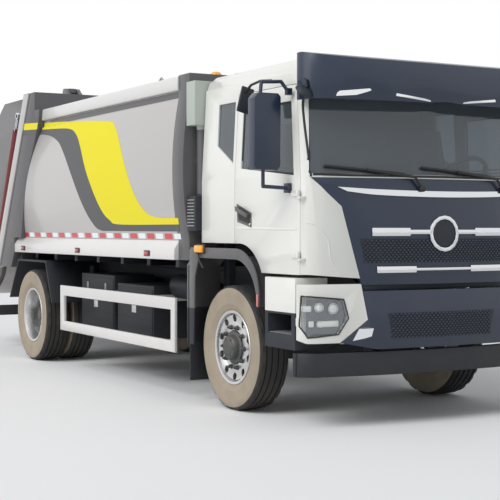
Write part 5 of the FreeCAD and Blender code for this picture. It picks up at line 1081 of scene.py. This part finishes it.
def zone_rows(tree, outline, wide, tall, stand):
    """A grid of points on the front surface that fills an outline of (y, z) corners."""
    low = min(z for _, z in outline)
    high = max(z for _, z in outline)
    rows = []
    for index in range(tall):
        z = low + (high - low) * (index + 0.001) / (tall - 0.998)
        hits = []
        for (ya, za), (yb, zb) in zip(outline, outline[1:] + outline[:1]):
            if (za - z) * (zb - z) <= 0 and za != zb:
                hits.append(ya + (yb - ya) * (z - za) / (zb - za))
        if len(hits) < 2:
            continue
        first, last = min(hits), max(hits)
        rows.append([front_point(tree, first + (last - first) * step / (wide - 1), z, stand)
                     for step in range(wide)])
    return rows


def front_line(tree, spots, count, stand):
    """Points on the front surface along a smooth line through (y, z) spots."""
    line = smooth_line([(0, y, z) for y, z in spots], count)
    points = [front_point(tree, spot.y, spot.z, stand) for spot in line]
    return [point for point in points if point]


# Shapes on the cab's front, as (y, z).
STRIP_TOP = ((-0.893, 1.772), (-0.577, 1.757), (-0.171, 1.749),
             (0.171, 1.749), (0.577, 1.757), (0.893, 1.772))
STRIP_LOW = ((-0.815, 1.740), (-0.577, 1.716), (-0.171, 1.705),
             (0.171, 1.705), (0.577, 1.716), (0.815, 1.740))
VISOR_LAMPS = (((0.945, 2.425), (0.93, 2.462), (0.68, 2.489), (0.665, 2.474), (0.80, 2.434)),
               ((0.47, 2.442), (0.465, 2.462), (0.16, 2.428), (0.15, 2.414)))
CORNER_CREASE = ((1.109, 1.515), (1.039, 1.479), (0.967, 1.384), (0.945, 1.239), (0.876, 1.129))
SCREEN_SEALS = (((-1.085, 1.845), (-1.085, 2.35), (-1.06, 2.46)),
                ((1.085, 1.845), (1.085, 2.35), (1.06, 2.46)),
                ((-1.07, 1.862), (-0.8, 1.858), (-0.4, 1.857), (0, 1.857), (0.4, 1.857), (0.8, 1.858),
                 (1.07, 1.862)))
# The two ends of each wiper's blade, and where its arm turns.
WIPERS = (((-0.985, 1.925), (-0.34, 1.872), (-0.20, 1.765)),
          ((-0.19, 1.925), (0.46, 1.872), (0.60, 1.765)))
DISC_HEIGHT = 1.430
DISC_RADIUS = 0.103


def lay_strip(tree):
    """The bright strip under the screen."""
    upper = smooth_line([(0, y, z) for y, z in STRIP_TOP], 70)
    lower = smooth_line([(0, y, z) for y, z in STRIP_LOW], 70)
    rows = []
    for one, two in zip(upper, lower):
        spots = (one, one.lerp(two, 0.33), one.lerp(two, 0.67), two)
        rows.append([front_point(tree, spot.y, spot.z, 0.010) for spot in spots])
    kit = Kit()
    kit.sheet(rows, 0.010)
    kit.done("bright_strip", "cab", ["bright"], 30)


def lay_mesh(name, tree, body, low, high, half, pitch):
    """A dark field with staggered diamonds, laid on the front surface."""
    kit = Kit()
    outline = [(-half, high), (half, high), (half - 0.05, low), (-half + 0.05, low)]
    kit.sheet(zone_rows(tree, outline, 50, 4, 0.0035), 0.004)
    kit.done(f"{name}_field", body, ["front_rough"])
    kit = Kit()
    wide, tall = pitch * 0.38, pitch * 0.22
    z = low + 0.008
    shift = 0
    while z < high - 0.006:
        y = -half + 0.04 + shift
        while y < half - 0.03:
            spot = front_point(tree, y, z, 0.004)
            if spot:
                kit.prism([(y - wide, z), (y, z - tall), (y + wide, z), (y, z + tall)], 0,
                          spot.x, spot.x + 0.007, 0.0)
            y += pitch
        z += pitch * 0.5
        shift = pitch / 2 - shift
    kit.done(f"{name}_mesh", body, ["front_dark"])


def lay_wipers(tree):
    """Two wipers on the screen, each a blade, an arm and a boss."""
    kit = Kit()
    for tip, foot, root in WIPERS:
        line = [Vector((0, *tip)).lerp(Vector((0, *foot)), step / 10) for step in range(11)]
        blade = [front_point(tree, spot.y, spot.z, 0.020) for spot in line]
        blade = [point for point in blade if point]
        kit.tube(blade, 0.009)
        kit.tube([point + Vector((-0.010, 0, -0.012)) for point in blade], 0.005, 6)
        middle = blade[len(blade) // 2] + Vector((0.014, 0, 0))
        base = front_point(tree, *root, 0.02)
        bend = front_point(tree, (middle.y + base.y) / 2 + 0.16, (middle.z + base.z) / 2 + 0.02,
                           0.034)
        kit.tube([middle, bend, base], 0.011)
        kit.bar(base - Vector((0.025, 0, 0)), base + Vector((0.018, 0, 0)), 0.024, 20, 0, 0.004)
    kit.done("wipers", "cab", ["rubber_trim"], 50)


class TRUCK_OT_cab_front(bpy.types.Operator):
    """Bright strip, meshes, creases, screen seal, wipers, visor lamps and the disc in the ring"""
    bl_idname = "truck.cab_front"
    bl_label = "Cab front"

    def execute(self, context):
        pitch = context.scene.truck_trim.mesh
        tree = cad_tree("grille_panel", "cab_shell", "cab_windows")
        lay_strip(tree)
        lay_mesh("grille", tree, "cab", 1.215, 1.392, 0.72, pitch)
        lay_mesh("air_inlet", cad_tree("front_bumper"), "chassis", 0.655, 0.842, 0.50, pitch)
        kit = Kit()
        kit.box((4.270, -0.69, 1.012), (4.285, 0.69, 1.10), 0.004)
        kit.done("grille_lip", "cab", ["front_rough"])
        shell = cad_tree("cab_shell")
        kit = Kit()
        for side, _ in SIDES:
            kit.tube(front_line(shell, flipped(CORNER_CREASE, side), 40, -0.001), 0.0055)
        kit.done("corner_creases", "cab", ["cab_white"], 60)
        kit = Kit()
        for spots in SCREEN_SEALS:
            kit.tube(front_line(tree, spots, 30, 0.004), 0.009)
        kit.done("screen_seal", "cab", ["rubber_trim"], 60)
        lay_wipers(tree)
        visor = cad_tree("sun_visor")
        kit = Kit()
        for side, _ in SIDES:
            for outline in VISOR_LAMPS:
                kit.sheet(zone_rows(visor, flipped(outline, side), 16, 6, 0.008), 0.008)
        kit.done("visor_lamps", "cab", ["lamp_bowl"], 60)
        kit = Kit()
        radius = DISC_RADIUS
        disc = [(-0.01, 0), (-0.01, radius), (0.010, radius), (0.014, radius - 0.006),
                (0.012, radius - 0.03), (0.016, radius - 0.05), (0.016, 0)]
        kit.turned(front_point(tree, 0, DISC_HEIGHT, 0), (1, 0, 0), disc, 64, 0, False)
        kit.done("centre_disc", "cab", ["front_rough"], 40)
        return {"FINISHED"}


# The right headlamp's lens and units and the left fog lamp, as (y, z). The others mirror them.
LENS = ((-1.158, 0.973), (-0.861, 0.946), (-0.824, 0.814),
        (-0.901, 0.702), (-1.124, 0.682), (-1.166, 0.761))
PROJECTORS = ((-0.925, 0.885, 0.046), (-1.035, 0.895, 0.040), (-1.03, 0.775, 0.030))
LIGHT_BARS = ((-1.115, 0.885, 0.03), (-0.955, 0.775, 0.075), (-1.09, 0.775, 0.02))
FOG = ((0.728, 0.749), (0.618, 0.748), (0.640, 0.672), (0.788, 0.648))
BED_DEPTH = 0.046                   # how far the lamp's bed and its units lie behind the lens
UNIT_DEPTH = 0.044


class TRUCK_OT_headlamps(bpy.types.Operator):
    """Lamp beds, round projectors, light bars and frames behind clear lenses, and fog lamps"""
    bl_idname = "truck.headlamps"
    bl_label = "Headlamps"

    def execute(self, context):
        tree = cad_tree("headlamps", "headlamp_blocks")
        skin = cad_tree("front_bumper", "headlamp_blocks")
        for side, label in SIDES:
            outline = flipped(LENS, -side)
            kit = Kit()
            kit.sheet(zone_rows(tree, outline, 22, 16, -BED_DEPTH), 0.003)
            kit.done(f"lamp_bed_{label}", "chassis", ["lamp_bed"], 40)
            kit = Kit()
            way = Vector((1, side * 0.22, 0))
            for y, z, radius in PROJECTORS:
                spot = front_point(tree, side * -y, z, -UNIT_DEPTH)
                rim = [(0, 0), (0, radius), (0.020, radius), (0.024, radius - 0.003),
                       (0.020, radius - 0.008), (0.006, radius - 0.014), (0.004, 0)]
                bulb = [(0, 0), (0, radius * 0.62), (0.008, radius * 0.58), (0.016, radius * 0.3),
                        (0.018, 0)]
                kit.turned(spot, way, rim, 40, 0, False)
                kit.turned(spot + way.normalized() * 0.004, way, bulb, 32, 1, False)
            for y, z, wide in LIGHT_BARS:
                spot = front_point(tree, side * -y, z, -UNIT_DEPTH)
                kit.box((spot.x, spot.y - wide, z - 0.022), (spot.x + 0.018, spot.y + wide, z + 0.022),
                        0.006, 2)
            kit.done(f"lamp_units_{label}", "chassis", ["bright", "lamp_white", "lamp_white"],
                     35)
            kit = Kit()
            ym = sum(y for y, _ in outline) / len(outline)
            zm = sum(z for _, z in outline) / len(outline)
            loop = around(outline, 8)
            points = [front_point(tree, ym + (y - ym) * 1.03, zm + (z - zm) * 1.04, 0.001)
                      for y, z in loop + loop[:1]]
            kit.tube([point for point in points if point], 0.0055)
            kit.done(f"lamp_frame_{label}", "chassis", ["rubber_trim"], 60)
            kit = Kit()
            kit.sheet(zone_rows(skin, flipped(FOG, side), 14, 8, 0.008), 0.006)
            kit.done(f"fog_lamp_{label}", "chassis", ["lamp_bowl"], 40)
        return {"FINISHED"}


# Shapes on the doors, as (x, z).
WINDOW_RIM = ((3.245, 1.945), (4.055, 1.865), (3.975, 2.405), (3.25, 2.405))
DOOR_CREASE = ((3.19, 1.470), (3.5, 1.468), (3.9, 1.462), (4.09, 1.462))
# Each plate of the handle: outline, nearest and farthest reach from the door, edge and finish.
HANDLE_PLATES = (
    (((3.186, 1.665), (3.43, 1.588), (3.43, 1.474), (3.20, 1.520)), -0.001, 0.002, 0.0, 1),
    (((3.205, 1.640), (3.405, 1.572), (3.405, 1.500), (3.225, 1.538)), 0.0021, 0.0035, 0.0, 0),
    (((3.21, 1.645), (3.408, 1.580), (3.402, 1.548), (3.22, 1.606)), 0.022, 0.036, 0.004, 1),
)
HANDLE_POSTS = ((3.225, 1.623), (3.39, 1.567))


class TRUCK_OT_doors(bpy.types.Operator):
    """Window seals, door handles and creases"""
    bl_idname = "truck.doors"
    bl_label = "Doors"

    def execute(self, context):
        for side, label in SIDES:
            door = f"door_{label}"
            tree = cad_tree(door, f"door_glass_{label}")
            kit = Kit()
            for one, two in zip(WINDOW_RIM, WINDOW_RIM[1:] + WINDOW_RIM[:1]):
                points = [side_point(tree, x, z, side) for x, z in [*between(one, two, 8), two]]
                kit.tube([point for point in points if point], 0.008)
            kit.done(f"door_seal_{label}", door, ["rubber_trim"], 60)
            kit = Kit()
            y = side_point(tree, 3.33, 1.60, side).y
            for outline, low, high, bevel, stuff in HANDLE_PLATES:
                kit.prism(outline, 1, y + side * low, y + side * high, bevel, stuff)
            for x, z in HANDLE_POSTS:
                kit.box((x - 0.012, y, z - 0.014), (x + 0.012, y + side * 0.030, z + 0.014), 0.003, 1)
            kit.bar((3.40, y, 1.500), (3.40, y + side * 0.006, 1.500), 0.010, 20, 2, 0.002)
            kit.done(f"door_handle_{label}", door, ["rubber_trim", "post_grey", "bright"],
                     50)
            kit = Kit()
            rows = [[side_point(tree, spot.x, spot.z + rise, side, stand)
                     for rise, stand in ((-0.010, 0.0), (-0.003, 0.004), (0.003, 0.004), (0.010, 0.0))]
                    for spot in smooth_line([(x, 0, z) for x, z in DOOR_CREASE], 30)]
            kit.sheet(rows, 0.0015)
            kit.done(f"door_crease_{label}", door, ["cab_white"], 60)
        return {"FINISHED"}


# The mirror glasses' outlines, as (y, z) on the right side, and where the glass lies along the truck.
MIRROR_GLASSES = (((-1.462, 2.08), (-1.280, 2.08), (-1.276, 2.42), (-1.452, 2.42)),
                  ((-1.464, 1.925), (-1.284, 1.925), (-1.281, 2.055), (-1.463, 2.055)))
GLASS_BACK, GLASS_FACE = 3.957, 3.9655
# Points for the left side, as (x, y, z).
SMALL_MIRROR = (3.60, 1.30, 2.44)
SMALL_MIRROR_ARM = ((3.995, 1.30, 2.548), (3.85, 1.31, 2.560), (3.70, 1.305, 2.545),
                    (3.605, 1.30, 2.50))
ROUND_MIRROR = (4.205, 1.145, 2.46)
ROUND_MIRROR_BOWL = ((-0.030, 0), (-0.028, 0.028), (-0.016, 0.058), (0.0, 0.070), (0.009, 0.072),
                     (0.011, 0.067), (0.011, 0))
ROUND_MIRROR_ARM = ((4.10, 1.08, 2.56), (4.17, 1.12, 2.555), (4.215, 1.14, 2.53), (4.22, 1.142, 2.485))


class TRUCK_OT_mirrors(bpy.types.Operator):
    """Mirror glass, the small side mirror and the round mirror at the cab's corner"""
    bl_idname = "truck.mirrors"
    bl_label = "Mirrors"

    def execute(self, context):
        for side, label in SIDES:
            kit = Kit()
            for outline in MIRROR_GLASSES:
                kit.prism(flipped(outline, -side), 0, GLASS_BACK, GLASS_FACE, 0.0)
            kit.done(f"mirror_faces_{label}", f"door_{label}", ["mirror_glass"], 30)
            kit = Kit()
            kit.box((-0.010, -0.055, -0.100), (0.012, 0.055, 0.100), 0.010)
            centre = on_side([SMALL_MIRROR], side)[0]
            lay = Matrix.Translation(centre) @ Matrix.Rotation(side * 0.25, 4, "X")
            bmesh.ops.transform(kit.bm, matrix=lay, verts=kit.bm.verts[:])
            kit.tube(on_side(SMALL_MIRROR_ARM, side), 0.010)
            kit.done(f"side_mirror_{label}", f"door_{label}", ["front_rough"], 45)
            kit = Kit()
            centre = on_side([ROUND_MIRROR], side)[0]
            kit.turned(centre, (-0.6, side * 0.2, -0.75), ROUND_MIRROR_BOWL, 40, 0, False)
            kit.tube(on_side(ROUND_MIRROR_ARM, side), 0.011)
            kit.done(f"round_mirror_{label}", "cab", ["front_rough"], 45)
        return {"FINISHED"}


STEP_RIBS = 14
FLAP_BOLTS = 4
REPEATER_WIRE = ((2.60, 1.20, 1.27), (2.64, 1.205, 1.20), (2.70, 1.20, 1.14))


class TRUCK_OT_steps(bpy.types.Operator):
    """Step ribs, side repeaters, fender reflectors and flap bolts"""
    bl_idname = "truck.steps"
    bl_label = "Steps and fenders"

    def execute(self, context):
        for side, label in SIDES:
            rib = Kit()
            rib.box((0, -0.105, -0.003), (0.010, 0.105, 0.003), 0.0015)
            repeat(rib, f"step_ribs_{label}", "chassis", "machine_steel",
                   (3.755, side * 1.07, 0.694), STEP_RIBS, spacing=(0.0225, 0, 0))
            kit = Kit()
            kit.block(side, (2.560, 2.700), (1.191, 1.222), (1.268, 1.330), 0.012)
            kit.block(side, (2.545, 2.715), (1.186, 1.198), (1.258, 1.340), 0.005, 1)
            kit.tube(on_side(REPEATER_WIRE, side), 0.008, stuff=1)
            kit.done(f"side_repeater_{label}", "chassis", ["amber", "rubber_trim"], 40)
            kit = Kit()
            kit.block(side, (3.586, 3.610), (1.189, 1.199), (0.872, 0.965), 0.004)
            kit.done(f"fender_reflector_{label}", "chassis", ["pink"], 40)
            bolt = Kit()
            bolt.bar((0, 0, 0), (-0.006, 0, 0), 0.010, 6, 0, 0.001)
            repeat(bolt, f"flap_bolts_{label}", "chassis", "machine_steel",
                   (2.3755, side * 0.94, 0.47), FLAP_BOLTS, spacing=(0, side * 0.062, 0))
        return {"FINISHED"}


# Each side box's rear end, front end and top.
SIDE_BOXES = ((-0.538, 0.340, 0.995), (0.430, 1.280, 0.925))
PIPES = (-0.55, -0.50, 0.5)
BEACON = (1.811, -0.62)
BEACON_BASE = 2.787
BEACON_LAMP = 2.815


class TRUCK_OT_gear(bpy.types.Operator):
    """Filter louvres, box lids, the front wall's pipes and the beacon"""
    bl_idname = "truck.gear"
    bl_label = "Side gear"

    def execute(self, context):
        slat = Kit()
        slat.prism([(0.0, -0.006), (-0.010, -0.001), (-0.010, 0.006), (0.0, 0.006)], 0,
                   -0.062, 0.062, 0.001)
        repeat(slat, "filter_louvres", "chassis", "machine_steel",
               (FRONT - 0.512, -1.2, 1.49), context.scene.truck_trim.louvres, spacing=(0, 0, 0.027))
        for side, label in SIDES:
            kit = Kit()
            for low, high, top in SIDE_BOXES:
                kit.block(side, (low + 0.02, high - 0.02), (0.998, 1.006), (0.455, top - 0.03), 0.004)
                for x in (low + 0.2, high - 0.2):
                    kit.block(side, (x - 0.02, x + 0.02), (1.004, 1.016), (top - 0.16, top - 0.08),
                              0.004, 1)
                kit.block(side, (low + 0.03, high - 0.03), (1.004, 1.009), (0.60, 0.612), 0.002)
                kit.block(side, (low + 0.36, low + 0.46), (1.004, 1.0085), (0.66, 0.73), 0.002, 2)
            kit.done(f"box_lids_{label}", "chassis", ["chassis_black", "machine_steel", "trim_white"])
        kit = Kit()
        for y in PIPES:
            kit.tube([(2.43, y, 1.2), (2.43, y, 1.9), (2.43, y * 1.05, 2.5), (2.42, y * 1.05, 2.78),
                      (2.36, y * 1.05, 2.83), (2.1, y * 1.05, 2.835)], 0.016)
        kit.done("front_wall_pipes", "chassis", ["chassis_black"], 60)
        kit = Kit()
        base = [(0, 0), (0, 0.070), (0.028, 0.068), (0.030, 0.060)]
        dome = [(0, 0.060), (0.05, 0.056), (0.074, 0.040), (0.084, 0.0)]
        kit.turned((*BEACON, BEACON_BASE), (0, 0, 1), base, 40, 1, False)
        kit.turned((*BEACON, BEACON_LAMP), (0, 0, 1), dome, 40, 0, False)
        kit.done("beacon", "chassis", ["amber", "chassis_black"], 50)
        return {"FINISHED"}


# ---------------------------------------------------------------- the add-on

OPERATORS = (TRUCK_OT_stage, TRUCK_OT_finishes, TRUCK_OT_tyres, TRUCK_OT_wheels, TRUCK_OT_bands,
             TRUCK_OT_body_trim, TRUCK_OT_cab_front, TRUCK_OT_headlamps, TRUCK_OT_doors,
             TRUCK_OT_mirrors, TRUCK_OT_steps, TRUCK_OT_gear)
GROUPS = (("truck_finishes", TruckFinishes), ("truck_wheels", TruckWheels), ("truck_trim", TruckTrim),
          ("truck_stage", TruckStage))


class TRUCK_PT_panel(bpy.types.Panel):
    """Buttons for each group of pieces"""
    bl_label = "Garbage truck"
    bl_idname = "TRUCK_PT_panel"
    bl_space_type = "VIEW_3D"
    bl_region_type = "UI"
    bl_category = "Truck"

    def draw(self, context):
        for piece in OPERATORS:
            self.layout.operator(piece.bl_idname)


def register():
    """Registers the groups first, because the scene's pointers need them."""
    for _, kind in GROUPS:
        bpy.utils.register_class(kind)
    for name, kind in GROUPS:
        setattr(bpy.types.Scene, name, PointerProperty(type=kind))
    for kind in (*OPERATORS, TRUCK_PT_panel):
        bpy.utils.register_class(kind)


def unregister():
    """Takes away what register added, in the other order."""
    for kind in (TRUCK_PT_panel, *reversed(OPERATORS)):
        bpy.utils.unregister_class(kind)
    for name, kind in reversed(GROUPS):
        delattr(bpy.types.Scene, name)
        bpy.utils.unregister_class(kind)


def main():
    """Runs the operators in order."""
    register()
    for piece in OPERATORS:
        area, name = piece.bl_idname.split(".")
        getattr(getattr(bpy.ops, area), name)()


if __name__ == "__main__":
    main()
